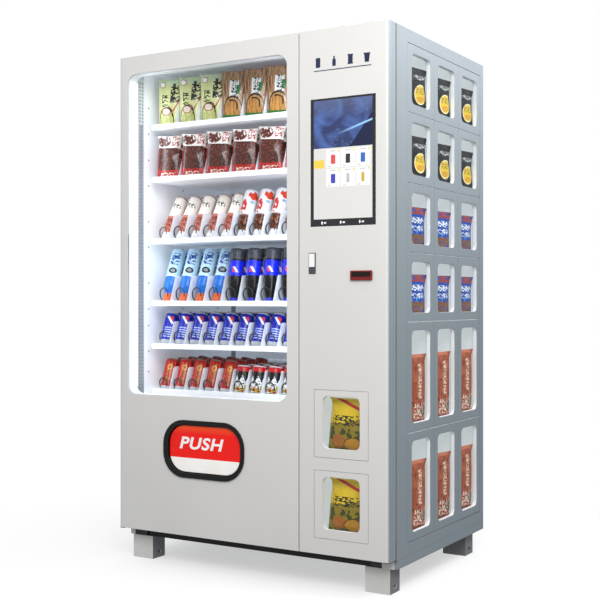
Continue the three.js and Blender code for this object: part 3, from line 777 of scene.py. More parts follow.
# ---------- display: uprights, rear air panel, lane dividers, spirals ----------
def add_uprights():
    """Slotted uprights on both walls of the display: two columns of round holes over a dark strip of painted
    shade.
    """
    low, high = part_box("inner_liner")
    wall, width, pitch = 0.003, 0.034, 0.0135
    hole_radius, hole_inset = 0.0046, 0.0095
    z0, z1 = low.z + 0.02, high.z - 0.02
    hole_heights = [z0 + 0.02 + pitch * i for i in range(int((z1 - z0 - 0.03) / pitch))]
    finish = clean("upright_grey", "d6d9dd", 0.4, 1200, 0.06)
    shade = clean("upright_shade", "8f959e", 0.6, 1200, 0.06)
    walls = (("left", "right", 1, low.x + wall + 0.0003), ("right", "left", -1, high.x - wall - 0.0003))
    for name, direction, sign, x in walls:
        strips, sheets = [], []
        for front in (low.y + 0.010, high.y - 0.075):
            u0, u1 = sorted((sign * front, sign * (front + width)))
            columns = (u0 + hole_inset, u1 - hole_inset)
            strips.append(rectangle(u0, u1, z0, z1))
            sheets += [strips[-1], *(circle(u, z, hole_radius, 10) for u in columns for z in hole_heights)]
        face = facing(direction, x + sign * 0.0008)
        plate(f"uprights_{name}", sheets, 0.0012, face, finish, "cabinet")
        plate(f"upright_backs_{name}", strips, 0.0006, facing(direction, x), shade, "cabinet")
        spots = [(sign * (low.y + depth), floor - TRAY_SHEET + rise) for floor in FLOORS
                 for depth in (0.075, 0.30, 0.55) for rise in (-0.012, 0.090)]
        screw_heads(f"wall_screws_{name}", spots, direction, x, 0.0032, FINISHES["dark_steel"], "cabinet")


def add_air_panel():
    """The cold air panel behind the trays, with a row of slots above each tray."""
    low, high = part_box("inner_liner")
    x0, x1 = low.x + 0.008, high.x - 0.008
    slots = []
    for _, tray_high in TRAYS:
        z = tray_high.z + 0.085
        starts = [x0 + 0.03 + 0.035 * i for i in range(20)]
        slots += [rounded(x, x + 0.025, z, z + 0.006, 0.0029, 3) for x in starts]
    plate("rear_air_panel", [rectangle(x0, x1, low.z + 0.006, high.z - 0.006), *slots], 0.0015,
          facing("front", TRAY_BACK + 0.008), FINISHES["inner_white"], "cabinet")


DIVIDER_HEIGHTS = (0.115, 0.110, 0.112, 0.115, 0.104, 0.108)


def add_dividers():
    """Bent sheets between the lanes, with a raked and rounded front edge."""
    thickness, back_gap, round_radius = 0.0012, 0.028, 0.012
    finish = clean("divider_pale", "e9edf6", 0.35, 1500, 0.04)
    for tray, height in enumerate(DIVIDER_HEIGHTS):
        low, high = TRAYS[tray]
        z = FLOORS[tray] + 0.0004
        front, back = low.y + 0.008, high.y - back_gap
        corner = arc(front + 0.048, z + height - round_radius, round_radius, 165, 90, 4)
        profile = [(front, z), (front + 0.036, z + height * 0.9), *corner, (back, z + height), (back, z)]
        form = form_of(sheet("divider_blank", [profile], thickness, 0.0003))
        lane_width = (high.x - low.x) / LANES[tray]
        places = [low.x + lane * lane_width - thickness / 2 for lane in range(1, LANES[tray])]
        entries = [(form, facing("right", x), 0) for x in places]
        build(f"dividers_tray_{tray + 1}", entries, [finish], "cabinet")


def form_of(mesh):
    points = np.empty(len(mesh.vertices) * 3)
    mesh.vertices.foreach_get("co", points)
    faces = [tuple(polygon.vertices) for polygon in mesh.polygons]
    uvs = None
    if mesh.uv_layers:
        flat = np.empty(len(mesh.loops) * 2, np.float32)
        mesh.uv_layers[0].data.foreach_get("uv", flat)
        uvs = [tuple(pair) for pair in flat.reshape(-1, 2).tolist()]
    return Form(points.reshape(-1, 3), faces, uvs)


SPIRAL_RADII = (0.042, 0.042, 0.030, 0.032, 0.030, 0.030)
SPIRAL_PITCHES = (0.086, 0.086, 0.070, 0.070, 0.070, 0.070)
SPIRAL_WIRE = 0.0024
CAD_SPIRAL_TRAYS = (0, 2, 4)


def add_spirals():
    """The vending spirals of every lane that has none in the frame, and the drive covers behind them."""
    length = TRAY_BACK - TRAY_FRONT - 0.040
    drive_finish = clean("drive_cover", "e2e4e8", 0.4, 1200, 0.08)
    for tray, (radius, pitch) in enumerate(zip(SPIRAL_RADII, SPIRAL_PITCHES)):
        low, high = TRAYS[tray]
        coil = helix(radius, pitch, length // pitch, SPIRAL_WIRE)
        z = FLOORS[tray] + radius + SPIRAL_WIRE + 0.003
        lanes = range(1 if tray in CAD_SPIRAL_TRAYS else 0, LANES[tray])
        spots = [(lane_x(tray, lane), TRAY_FRONT + 0.008, z) for lane in lanes]
        entries = [(coil, Matrix.Translation(spot), 0) for spot in spots]
        build(f"spirals_tray_{tray + 1}", entries, [FINISHES["wire_black"]], "cabinet", 50)
        bottom, top = FLOORS[tray] + 0.0005, FLOORS[tray] + 0.095
        cover = [rounded(low.x + 0.004, high.x - 0.004, bottom, top, 0.004, 3)]
        plate(f"drive_cover_tray_{tray + 1}", cover, 0.018, facing("front", TRAY_BACK - 0.003), drive_finish,
              "cabinet", 0.001)


add_uprights()
add_air_panel()
add_dividers()
add_spirals()


# ---------- bags ----------
SIM_SCALE = 6.0  # the cloth solver is steadier on a metre-sized bag
BAG_COLUMNS, BAG_ROWS = 14, 22
BAG_CLOTH = {
    "quality": 6, "mass": 0.25, "tension_stiffness": 18, "compression_stiffness": 18, "shear_stiffness": 8,
    "bending_stiffness": 0.6, "use_pressure": True, "uniform_pressure_force": 3.0,
    "vertex_group_pressure": "filled", "vertex_group_mass": "held",
}


def flat_bag(width, height, bulge):
    """A closed bag, nearly flat: a front and a back sheet that share their edge points."""
    index, vertices, faces, uvs = {}, [], [], []

    def key(i, j, layer):
        on_edge = i in (0, BAG_COLUMNS) or j in (0, BAG_ROWS)
        return i, j, 0 if on_edge else layer

    for layer in (-1, 1):
        for j in range(BAG_ROWS + 1):
            for i in range(BAG_COLUMNS + 1):
                point = key(i, j, layer)
                if point in index:
                    continue
                index[point] = len(vertices)
                u, v = i / BAG_COLUMNS, j / BAG_ROWS
                swell = bulge * math.sin(math.pi * u) ** 0.5 * math.sin(math.pi * v) ** 0.6
                crease = 0.02 * bulge * math.sin(17 * u + 9 * v)
                depth = point[2] * (swell + crease + 0.0006)
                vertices.append(((u - 0.5) * width, depth, v * height))
    for layer in (-1, 1):
        for j in range(BAG_ROWS):
            for i in range(BAG_COLUMNS):
                corners = [(i, j), (i + 1, j), (i + 1, j + 1), (i, j + 1)]
                if layer > 0:
                    corners.reverse()
                faces.append(tuple(index[key(a, b, layer)] for a, b in corners))
                uvs += [(a / BAG_COLUMNS, b / BAG_ROWS) for a, b in corners]
    return Form(vertices, faces, uvs)


def inflate(mesh, seal, furthest):
    """Blows the bag up by cloth simulation. Sealed strips stay flat; no point moves beyond `furthest`."""
    bag = linked("bag_blank", mesh)
    start = np.array([vertex.co for vertex in mesh.vertices])
    height = start[:, 2].max()
    filled = bag.vertex_groups.new(name="filled")
    held = bag.vertex_groups.new(name="held")
    held.add([vertex.index for vertex in mesh.vertices if vertex.co.z > 0.999 * height], 1.0, "REPLACE")
    for vertex in mesh.vertices:
        edge = min(vertex.co.z, height - vertex.co.z) / height
        filled.add([vertex.index], min(1.0, max(0.0, (edge - seal) / 0.06)), "REPLACE")
    cloth = bag.modifiers.new("cloth", "CLOTH")
    for setting, value in BAG_CLOTH.items():
        setattr(cloth.settings, setting, value)
    cloth.settings.effector_weights.gravity = 0
    cloth.collision_settings.use_collision = False
    scene = bpy.context.scene
    scene.frame_start, scene.frame_end = 1, 20
    for number in range(1, 21):
        scene.frame_set(number)
    moved = bag.evaluated_get(bpy.context.evaluated_depsgraph_get()).to_mesh()
    step = np.array([vertex.co for vertex in moved.vertices]) - start
    scene.frame_set(1)
    bag.modifiers.remove(cloth)
    length = np.linalg.norm(step, axis=1, keepdims=True)
    step *= np.minimum(1.0, furthest / np.maximum(length, 1e-9))
    mesh.vertices.foreach_set("co", (start + step).astype(np.float32).ravel())
    bpy.data.objects.remove(bag)


def bag_form(width, height, seal=0.05):
    """A filled bag of the given size, subdivided once, standing on z = 0 and centred on x and y."""
    wide, high = width * SIM_SCALE, height * SIM_SCALE
    mesh = mesh_of("bag_blank", flat_bag(wide, high, 0.13 * wide * (1)))
    inflate(mesh, seal, 0.13 * wide)
    holder = linked("bag_holder", mesh)
    holder.modifiers.new("smooth", "SUBSURF").levels = 1
    form = form_of(evaluated(holder).to_mesh())
    bpy.data.objects.remove(holder)
    low, top = form.vertices.min(0), form.vertices.max(0)
    middle = (low + top) / 2
    form.vertices -= (middle[0], middle[1], low[2])
    form.vertices /= SIM_SCALE
    return form


def sized(form, width, height, depth, foot=1.0):
    """A copy scaled to the given size, as wide at its foot as the share `foot` of its top."""
    size = form.vertices.max(0) - form.vertices.min(0)
    points = form.vertices * (width / size[0], depth / size[1], height / size[2])
    points[:, 0] *= foot + (1 - foot) * points[:, 2] / height
    return Form(points, form.faces, form.uvs)


SLIM_BAG = bag_form(0.108, 0.195)
TALL_BAG = bag_form(0.118, 0.264, 0.07)
STOUT_BAG = bag_form(0.130, 0.165)


# ---------- printed designs ----------
def draw_green_snack(g):
    return [
        (g.above(0.80), "d3e0c0"),
        (g.times(g.disc(0.42, 0.2, 0.3, 0.26), g.spots(0.45, 9)), "c9cc8c"),
        (g.ring(0.42, 0.14, 0.30, 0.28, 0.9), "20281e"),
        (g.disc(0.42, 0.34, 0.17, 0.07), "e9ddd0"),
        (g.ring(0.42, 0.34, 0.17, 0.07, 0.8), "b9402c"),
        (g.times(g.slanted(0.9, -0.28, -0.23), g.rect(0.66, 0.98, 0.3, 0.68)), "c9472e"),
        (g.disc(0.26, 0.82, 0.12, 0.055), "f7f4ee"),
        (g.ring(0.26, 0.82, 0.12, 0.055, 0.8), "b24a33"),
        (g.strokes(0.55, 0.88, 0.50, 0.84, 9, 0.09), "1c2019"),
        (g.strokes(0.26, 0.48, 0.42, 0.64, 9, 0.07), "24281f"),
    ]


def draw_stick_snack(g):
    strands = g.label_noise(16, 3, (3.2, 0.25, 1))
    return [
        (g.over(strands, 0.46), "b48f6c"),
        (g.over(strands, 0.56), "d6b690"),
        (g.above(0.97), "c9603a"),
        (g.rect(0.38, 0.66, 0.48, 0.76), "eef0ee"),
        (g.rect(0.60, 0.72, 0.52, 0.68), "2d8a4a"),
        (g.strokes(0.44, 0.62, 0.48, 0.76, 14, 0.06), "20242a"),
        (g.times(g.disc(0.5, 0.18, 0.32, 0.28), g.over(strands, 0.44)), "d9a962"),
        (g.ring(0.5, 0.18, 0.36, 0.32, 0.9), "15171c"),
        (g.below(0.16), "2f8f3e"),
        (g.below(0.06), "1c5a2a"),
    ]


def draw_spicy_snack(g):
    crust = g.label_noise(22, 4)
    return [
        (g.over(crust, 0.5), "7a3a22"),
        (g.over(crust, 0.6), "a8562f"),
        (g.under(g.u, 0.12), "c51d1c"),
        (g.below(0.24), "c22a20"),
        (g.strokes(0.24, 0.80, 0.09, 0.19, 10, 0.07), "f3e9df"),
        (g.above(0.68), "f1ebe8"),
        (g.times(g.disc(0.36, 0.80, 0.24, 0.10), g.spots(0.42, 13)), "7a3c28"),
        (g.strokes(0.62, 0.92, 0.72, 0.92, 12, 0.06), "b3342a"),
    ]


def draw_black_pouch(g):
    return [
        (g.disc(0.62, 0.43, 0.25, 0.19), "efd24e"),
        (g.ring(0.62, 0.43, 0.25, 0.19, 0.90), "f7efcf"),
        (g.strokes(0.44, 0.80, 0.44, 0.56, 13), "3a3018"),
        (g.disc(0.62, 0.34, 0.15, 0.06), "e3b548"),
        (g.strokes(0.34, 0.92, 0.70, 0.78, 12, 0.05), "d9dade"),
        (g.times(g.rect(0.15, 0.95, 0.62, 0.95), g.spots(0.68, 40, 1)), "8d9097"),
        (g.strokes(0.22, 0.80, 0.06, 0.14), "d9dade"),
    ]


def draw_blue_snack(g):
    return [
        (g.above(0.92), "1d3f8c"),
        (g.times(g.rect(0.10, 0.90, 0.78, 0.92), g.spots(0.45, 10)), "b5562a"),
        (g.strokes(0.22, 0.86, 0.60, 0.72, 9, 0.06), "eef3fa"),
        (g.strokes(0.26, 0.82, 0.45, 0.56, 9, 0.06), "e6eef8"),
        (g.times(g.rect(0.0, 0.5, 0.30, 0.46), g.spots(0.5, 7)), "58b4e6"),
        (g.times(g.below(0.38), g.spots(0.42, 13, 3)), "a06a35"),
        (g.times(g.below(0.34), g.spots(0.60, 17, 3)), "5f8f3c"),
    ]


def draw_coffee(g):
    return [
        (g.spread(g.label_noise(7, 4), 0.42, 0.62), "c27a58"),
        (g.spots(0.60, 16, 4), "8a3c24"),
        (g.above(0.93), "d08a6c"),
        (g.strokes(0.52, 0.66, 0.40, 0.84, 14, 0.06), "f3e2cf"),
        (g.strokes(0.36, 0.88, 0.12, 0.34, 12, 0.06), "e9ded0"),
        (g.times(g.disc(0.74, 0.24, 0.11, 0.06), g.spots(0.48, 30)), "3f5a3c"),
    ]


def draw_yellow_chips(g):
    return [
        (g.slanted(0.10, -0.5, 0.50), "a8962c"),
        (g.times(g.below(0.46), g.spots(0.50, 8, 3)), "5d6428"),
        (g.disc(0.36, 0.24, 0.17, 0.11), "b9803a"),
        (g.disc(0.66, 0.20, 0.20, 0.12), "c79a3e"),
        (g.ring(0.66, 0.20, 0.20, 0.12, 0.88), "7a5420"),
        (g.strokes(0.16, 0.88, 0.50, 0.66, 9, 0.06), "4a4a1c"),
        (g.times(g.slanted(-0.3, 0.98, 1.03), g.within(g.u, 0.25, 0.8)), "d0402a"),
        (g.below(0.06), "4a3a1c"),
    ]


def draw_pink_bottle(g):
    return [
        (g.times(g.band(0.14, 0.50), g.spots(0.52, 12, 3)), "c06a50"),
        (g.times(g.rect(0.36, 0.64, 0.24, 0.44), g.spots(0.47, 26, 2)), "9a4a34"),
        (g.above(0.50), "f6f1ec"),
        (g.above(0.93), "c9bab4"),
        (g.strokes(0.40, 0.62, 0.68, 0.80, 14, 0.06), "33403c"),
        (g.times(g.above(0.5), g.within(g.u, 0.66, 0.72)), "e0583a"),
        (g.below(0.145), "f4f2f2"),
    ]


def draw_brown_bottle(g):
    return [
        (g.times(g.band(0.14, 0.46), g.spots(0.55, 20, 3)), "b06a30"),
        (g.above(0.44), "f2f2f6"),
        (g.times(g.disc(0.40, 0.86, 0.13, 0.09), g.spots(0.44, 9)), "e35a33"),
        (g.times(g.disc(0.60, 0.62, 0.08, 0.15), g.spots(0.42, 11)), "d8402a"),
        (g.disc(0.42, 0.72, 0.05, 0.03), "9fc4de"),
        (g.band(0.44, 0.46), "c9c0c8"),
        (g.below(0.145), "f0eff6"),
    ]


def draw_blue_bottle(g):
    return [
        (g.above(0.46), "cfe8f7"),
        (g.band(0.46, 0.49), "dff1fb"),
        (g.disc(0.5, 0.57, 0.10, 0.055), "1c2430"),
        (g.disc(0.5, 0.57, 0.055, 0.03), "9aa6b2"),
        (g.strokes(0.40, 0.60, 0.68, 0.90, 11, 0.08), "2a5fae"),
        (g.below(0.155), "ee8245"),
    ]


def draw_dark_bottle(g):
    return [
        (g.above(0.80), "60636d"),
        (g.band(0.50, 0.77), "1f3df0"),
        (g.times(g.rect(0.42, 0.58, 0.56, 0.66), g.slanted(1.2, -0.02, 0.05)), "f2f2f2"),
        (g.times(g.rect(0.42, 0.58, 0.56, 0.66), g.slanted(1.2, -0.11, -0.04)), "f0662e"),
        (g.below(0.11), "4452d8"),
    ]


def draw_blue_can(g):
    return [
        (g.below(0.13), "c9ccd0"),
        (g.above(0.955), "c9ccd0"),
        (g.times(g.rect(0.42, 0.58, 0.64, 0.86), g.slanted(1.6, -0.09, 0.01)), "f1f1f4"),
        (g.times(g.rect(0.42, 0.58, 0.64, 0.86), g.slanted(1.6, 0.03, 0.16)), "ea4c33"),
        (g.times(g.rect(0.40, 0.60, 0.20, 0.55), g.over(g.math("SINE", g.times(g.v, 90)), 0.2)), "b9c8f0"),
    ]


def draw_red_can(g):
    return [
        (g.below(0.13), "c9ccd0"),
        (g.above(0.955), "8f8276"),
        (g.times(g.rect(0.44, 0.56, 0.22, 0.86), g.spots(0.45, 13)), "b07a38"),
        (g.ring(0.5, 0.72, 0.055, 0.09, 0.6), "e0b050"),
        (g.within(g.u, 0.385, 0.40), "ff7a5a"),
    ]


def draw_peak_can(g):
    ridge = g.math("PINGPONG", g.u, 0.07)
    peak = g.under(g.v, g.line(ridge, 3.2, 0.45))
    return [
        (g.above(0.80), "c8262a"),
        (g.above(0.955), "c9ccd0"),
        (g.times(peak, g.spots(0.42, 14, 2)), "eef0f2"),
        (g.times(g.band(0.13, 0.36), g.spots(0.48, 11, 2)), "c8b23c"),
        (g.times(g.band(0.13, 0.3), g.spots(0.56, 15, 2)), "b0282c"),
        (g.below(0.13), "a9adb2"),
    ]


# ---------- bottles and cans ----------
def bottle_form(radius, length, cap_share, cap_height, shoulder, waist=0.0):
    """A capped bottle on its cap: the cap is at z = 0 and the bottle's foot is at the top."""
    cap, grip = cap_share * radius, cap_height * length
    neck = cap - 0.0015
    profile = [(0, 0), (neck, 0), (cap, 0.0015), (cap, grip - 0.001), (cap - 0.0012, grip),
               (neck, grip + 0.003)]
    start, end = grip + 0.004, shoulder * length
    for t in (0.2, 0.4, 0.6, 0.8, 1.0):
        profile.append((neck + (radius - neck) * math.sin(t * math.pi / 2), start + (end - start) * t))
    for t in (0.2, 0.45, 0.7, 0.9):
        profile.append((radius - waist * math.sin(math.pi * t), end + (0.96 * length - end) * t))
    foot = ((1, 0.955 * length), (0.9, 0.985 * length), (0.72, length - 0.001), (0.5, length - 0.004),
            (0, length))
    return lathe(profile + [(radius * share, z) for share, z in foot])


def can_form(radius, height):
    """A drink can on its domed foot, with a stepped neck and rim."""
    foot = ((0, 0), (0.62, 0.0004), (0.74, 0.0015), (0.84, 0.006), (0.97, 0.013), (1, 0.018))
    rim = ((1, 0.016), (0.93, 0.006), (0.86, 0.003), (0.88, 0.0012), (0.84, 0.0004), (0, 0))
    profile = [(radius * share, z) for share, z in foot]
    profile += [(radius * share, height - below_top) for share, below_top in rim]
    return lathe(profile, 24)


def stock_row(name, form, material, tray, lanes, deep, pitch, tilt, front, turn):
    """Copies of one item along the given lanes of a tray, each leaning back by `tilt` degrees."""
    sway, wobble = 2.0, 0.6
    rise = form.vertices[:, 1].max() * math.sin(math.radians(tilt)) * 0.9
    entries = []
    for lane in lanes:
        for row in range(deep):
            turned = Matrix.Rotation(math.radians(turn + rng.uniform(-sway, sway)), 4, "Z")
            lean = Matrix.Rotation(-math.radians(tilt + rng.uniform(-wobble, wobble)), 4, "X")
            spot = Vector((lane_x(tray, lane), TRAY_FRONT + front + row * pitch, FLOORS[tray] + 0.001 + rise))
            entries.append((form, Matrix.Translation(spot) @ lean @ turned, 0))
    build(name, entries, [material], "cabinet", 60)


LABEL_TURN = 24  # labels of bottles and cans face a customer who comes from the right
FILM = {"roughness": 0.3, "crinkle": 0.5, "Coat_Weight": 0.2}
HARD = {"roughness": 0.25, "crinkle": 0.03, "Coat_Weight": 0.1, "Specular_IOR_Level": 0.3}
SLIM_PACK = sized(SLIM_BAG, 0.128, 0.203, 0.040, 0.74)
WIDE_PACK = sized(STOUT_BAG, 0.122, 0.181, 0.042, 0.88)
TEA_BOTTLE = bottle_form(0.0262, 0.205, 0.72, 0.13, 0.36)
SHORT_BOTTLE = bottle_form(0.0285, 0.200, 0.62, 0.13, 0.34)
SPORT_BOTTLE = bottle_form(0.0285, 0.226, 0.58, 0.13, 0.33)
WAISTED_BOTTLE = bottle_form(0.0290, 0.215, 0.56, 0.10, 0.46, 0.0012)
SLIM_CAN = can_form(0.0280, 0.132)
SHORT_CAN = can_form(0.0290, 0.118)
DISPLAY_STOCK = (  # name, form, design, base colour, surface
    # then: tray, lanes, items deep, pitch, tilt, distance from the tray's front, turn
    ("green_packs", SLIM_PACK, draw_green_snack, "dde0ac", FILM,
     0, range(3), 3, 0.086, 4, 0.047, 14),
    ("stick_packs", SLIM_PACK, draw_stick_snack, "8a5a34", FILM,
     0, range(3, 7), 3, 0.086, 4, 0.047, 14),
    ("spicy_packs", WIDE_PACK, draw_spicy_snack, "4e2418", FILM,
     1, range(6), 3, 0.086, 3, 0.034, 10),
    ("pink_bottles", TEA_BOTTLE, draw_pink_bottle, "d99080", HARD,
     2, range(5), 4, 0.070, 33, 0.042, LABEL_TURN),
    ("brown_bottles", SHORT_BOTTLE, draw_brown_bottle, "5a3018", HARD,
     2, range(5, 10), 4, 0.070, 24, 0.045, LABEL_TURN),
    ("blue_bottles", SPORT_BOTTLE, draw_blue_bottle, "2f8fe0", HARD,
     3, range(4), 4, 0.070, 22, 0.043, LABEL_TURN),
    ("dark_bottles", WAISTED_BOTTLE, draw_dark_bottle, "14101a", HARD,
     3, range(4, 9), 4, 0.070, 8, 0.048, LABEL_TURN),
    ("blue_cans", SLIM_CAN, draw_blue_can, "1430b8", HARD,
     4, range(10), 4, 0.070, 20, 0.047, LABEL_TURN),
    ("red_cans", SLIM_CAN, draw_red_can, "c0201c", HARD,
     5, range(5), 4, 0.070, 20, 0.047, LABEL_TURN),
    ("peak_cans", SHORT_CAN, draw_peak_can, "1a1414", HARD,
     5, range(5, 10), 4, 0.070, 10, 0.047, LABEL_TURN),
)


def add_display_stock():
    for name, form, design, base, surface, *row in DISPLAY_STOCK:
        stock_row(f"stock_{name}", form, label(f"{name}_print", base, design, **surface), *row)


LOCKER_STOCK = (  # name, rows, form, width, height, foot, shift towards the back, design, base colour
    ("black_pouches", (1, 2), STOUT_BAG, 0.146, 0.172, 1.0, 0.034, draw_black_pouch, "17181a"),
    ("blue_packs", (3, 4), STOUT_BAG, 0.148, 0.160, 0.82, 0.032, draw_blue_snack, "2f63b8"),
    ("coffee_packs", (5, 6), TALL_BAG, 0.150, 0.258, 1.0, 0.028, draw_coffee, "b5653a"),
)
PACK_DEPTH = 0.026
PACK_TURN = 10  # degrees by which a pack faces the front of the machine


def add_locker_stock():
    """A pack behind each side locker door, and a bag of chips behind each front one."""
    for name, rows, form, width, height, foot, shift, design, base in LOCKER_STOCK:
        pack = sized(form, width, height, PACK_DEPTH, foot)
        behind_door = math.hypot(PACK_DEPTH / 2, width / 2 * math.sin(math.radians(PACK_TURN))) + 0.004
        entries = []
        for column in COLUMNS:
            for row in rows:
                low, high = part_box(f"locker_door_{column}{row}")
                turn = Matrix.Rotation(math.radians(90 - PACK_TURN + rng.uniform(-2, 2)), 4, "Z")
                spot = (low.x - behind_door, (low.y + high.y) / 2 + shift, low.z + 0.008)
                entries.append((pack, Matrix.Translation(spot) @ turn, 0))
        finish = label(f"{name}_print", base, design, 0.4, 0.4, Specular_IOR_Level=0.3)
        build(f"stock_{name}", entries, [finish], "cabinet", 60)
    chips = sized(STOUT_BAG, 0.156, 0.197, 0.052)
    finish = label("chips_print", "f0d437", draw_yellow_chips, 0.3, 0.5, Coat_Weight=0.25)
    lean = Matrix.Rotation(math.radians(-2), 4, "X") @ Matrix.Rotation(math.radians(4), 4, "Z")
    for number in (1, 2):
        low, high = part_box(f"front_locker_door_{number}")
        spot = Matrix.Translation(((low.x + high.x) / 2 + 0.002, high.y + 0.036, low.z + 0.008))
        build(f"stock_chips_{number}", [(chips, spot @ lean, 0)], [finish], "control_door", 60)


add_display_stock()
add_locker_stock()


# ---------- screen ----------
def screen_plate(name, outlines, level, material):
    """A layer of the picture, `level` tenths of a millimetre above the glass."""
    low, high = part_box("touch_screen")
    width, height = high.x - low.x, high.z - low.z
    laid = [[(low.x + u * width, low.z + v * height) for u, v in outline] for outline in outlines]
    plate(name, laid, 0.0001, facing("front", low.y - 0.0001 * level), material, "control_door")


def lit(name, code):
    """A flat, faintly glowing colour of the screen's page."""
    g = Graph(name)
    colour = linear(code)
    tone = g.mix(g.spread(g.noise(18, 2), 0.3, 0.7, 0, 0.12), colour, scaled(colour, 0.85))
    return g.finish(tone, 0.15, g.noise(900, 1), 0.01, 0.0002, Emission_Color=tone, Emission_Strength=0.12,
                    Coat_Weight=0.5)


def advert_finish():
    """An abstract night-blue picture: soft light, a streak and a diagonal shade, with a painted reflection of
    the glass as a grey sheen towards the top.
    """
    g = Graph("screen_picture")
    low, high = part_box("touch_screen")
    u = g.spread(g.x, low.x, high.x)
    v = g.spread(g.height, low.z + 0.61 * (high.z - low.z), high.z)
    cloud = g.spread(g.noise(9, 4, distortion=1.5), 0.35, 0.7)
    base = g.mix(cloud, linear("2a3460"), linear("4a68a8"))
    wisps = g.noise(30, 3, stretch=(1, 1, 4), distortion=2)
    base = g.mix(g.spread(wisps, 0.62, 0.78, 0, 0.45), base, linear("8fb0de"))
    # Painted reflection: a grey sheen of the glass towards the top of the picture.
    base = g.mix(g.spread(v, 0.55, 1.0, 0.0, 0.4), base, linear("6d7488"))
    slope = g.minus(v, g.line(u, 1.9, -1.15))
    base = g.mix(g.under(slope, 0.0), base, linear("101a3c"))
    streak = g.absolute(g.minus(v, g.line(u, 0.45, 0.08)))
    shine = g.times(g.spread(streak, 0.0, 0.03, 1.0, 0.0), g.spread(u, 0.4, 0.75))
    base = g.mix(shine, base, linear("9fd0ff"))
    return g.finish(base, 0.15, g.noise(900, 1), 0.01, 0.0002, Emission_Color=base, Emission_Strength=0.2)


def add_screen_picture():
    """The advert picture, and below it a page of six product tiles and a bar of marks."""
    left, right, split = 0.05, 0.95, 0.611
    picture, page = rectangle(left, right, split + 0.001, 0.985), rectangle(left, right, 0.056, split - 0.001)
    screen_plate("screen_picture", [picture], 1, advert_finish())
    screen_plate("screen_menu", [page], 1, lit("menu_ground", "d6d5d2"))
    corners = [(0.245 + 0.228 * (tile % 3), 0.455 - 0.150 * (tile // 3)) for tile in range(6)]
    cards = [rectangle(u, u + 0.215, v, v + 0.142) for u, v in corners]
    marks = [rectangle(u + 0.06, u + 0.15, v + 0.128, v + 0.132) for u, v in corners]
    marks += [rectangle(u + 0.03, u + 0.07, v + 0.008, v + 0.012) for u, v in corners]
    dots = [circle(u + 0.196, v + 0.130, 0.011, 10) for u, v in corners]
    screen_plate("screen_cards", cards, 2, lit("menu_card", "ececea"))
    screen_plate("screen_card_marks", marks, 3, lit("menu_mark", "8a8a88"))
    screen_plate("screen_card_dots", dots, 3, lit("menu_dot", "e8c35a"))
    button = rounded(0.052, 0.215, 0.455, 0.520, 0.008, 3)
    screen_plate("screen_button", [button], 2, lit("menu_button", "f5c948"))
    wrapper = mirrored([(0.8, -1), (1, -0.85), (1, 0.85), (0.8, 1)])
    items = (("d9484a", 0.034), ("2c2426", 0.034), ("2f66b0", 0.034), ("3b3fb4", 0.034), ("b9b4b4", 0.022),
             ("c9a23c", 0.022))
    for number, ((u, v), (code, half)) in enumerate(zip(corners, items), 1):
        shape = [(u + 0.108 + half * x, v + 0.065 + 0.036 * y) for x, y in wrapper]
        screen_plate(f"screen_item_{number}", [shape], 3, lit(f"menu_item_{number}", code))
    bar = [circle(0.18 + 0.29 * i, 0.027, 0.013, 10) for i in range(3)]
    bar += [rectangle(0.21 + 0.29 * i, 0.245 + 0.29 * i, 0.021, 0.033) for i in range(3)]
    screen_plate("screen_bar_marks", bar, 1, lit("menu_bar_mark", "f2f2f2"))


# ---------- front pictograms and push word ----------
def add_pictograms():
    """A neutral strip of a can, a bottle, a bag and a cup above the screen."""
    low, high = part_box("touch_screen")
    z, size = high.z + 0.126, 0.034
    start, step = low.x + 0.030, 0.0635
    shapes = (
        rounded(-0.26, 0.26, -0.5, 0.5, 0.1, 3),
        mirrored([(0.2, -0.5), (0.2, 0.1), (0.08, 0.28), (0.08, 0.5)]),
        mirrored([(0.32, -0.5), (0.26, -0.3), (0.26, 0.3), (0.32, 0.5)]),
        mirrored([(0.22, -0.5), (0.32, 0.3), (0.38, 0.3), (0.38, 0.42)]),
    )
    outlines = [[(start + step * index + size * x, z + size * y) for x, y in shape]
                for index, shape in enumerate(shapes)]
    outlines.append(rectangle(start - 0.016, start + 3 * step + 0.016, z - 0.030, z - 0.027))
    navy = clean("pictogram_navy", "1d2a4c", 0.35, 1200, 0.05)
    face = facing("front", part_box("control_door")[0].y - 0.0001)
    plate("pictogram_strip", outlines, 0.0006, face, navy, "control_door", 0.0002)


def add_push_word():
    """The flap's operating word in raised letters."""
    low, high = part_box("push_flap")
    width, height = 0.200, 0.046
    data = bpy.data.curves.new("push_word", "FONT")
    data.body, data.shear, data.space_character = "PUSH", 0.22, 1.1
    data.offset, data.extrude = 0.028, 0.01
    mesh = curve_mesh(data)
    points = np.array([vertex.co for vertex in mesh.vertices])
    start, end = points.min(0), points.max(0)
    scale = Matrix.Diagonal((width / (end[0] - start[0]), height / (end[1] - start[1]), 0.04, 1))
    centre = Matrix.Translation((-(start[0] + end[0]) / 2, -(start[1] + end[1]) / 2, 0))
    middle = Matrix.Translation(((low.x + high.x) / 2 - 0.014, 0, low.z + 0.108))
    mesh.transform(middle @ facing("front", low.y) @ scale @ centre)
    place("push_word", mesh, [clean("push_white", "fbfaf8", 0.25, 1500, 0.03, Coat_Weight=0.4)], "push_flap")


add_screen_picture()
add_pictograms()
add_push_word()


# ---------- back and machine compartment ----------
LOUVRE_HOOD = Form(  # a sloped hood in a unit box, wide open at its lower side
    [(0, 0, 0), (1, 0, 0), (1, 0, 1), (0, 0, 1), (0.03, 0.35, 0.15), (0.97, 0.35, 0.15), (0.97, 0.2, 0.75),
     (0.03, 0.2, 0.75)],
    [(0, 1, 2, 3), (4, 7, 6, 5), (0, 4, 5, 1), (1, 5, 6, 2), (2, 6, 7, 3), (3, 7, 4, 0)])


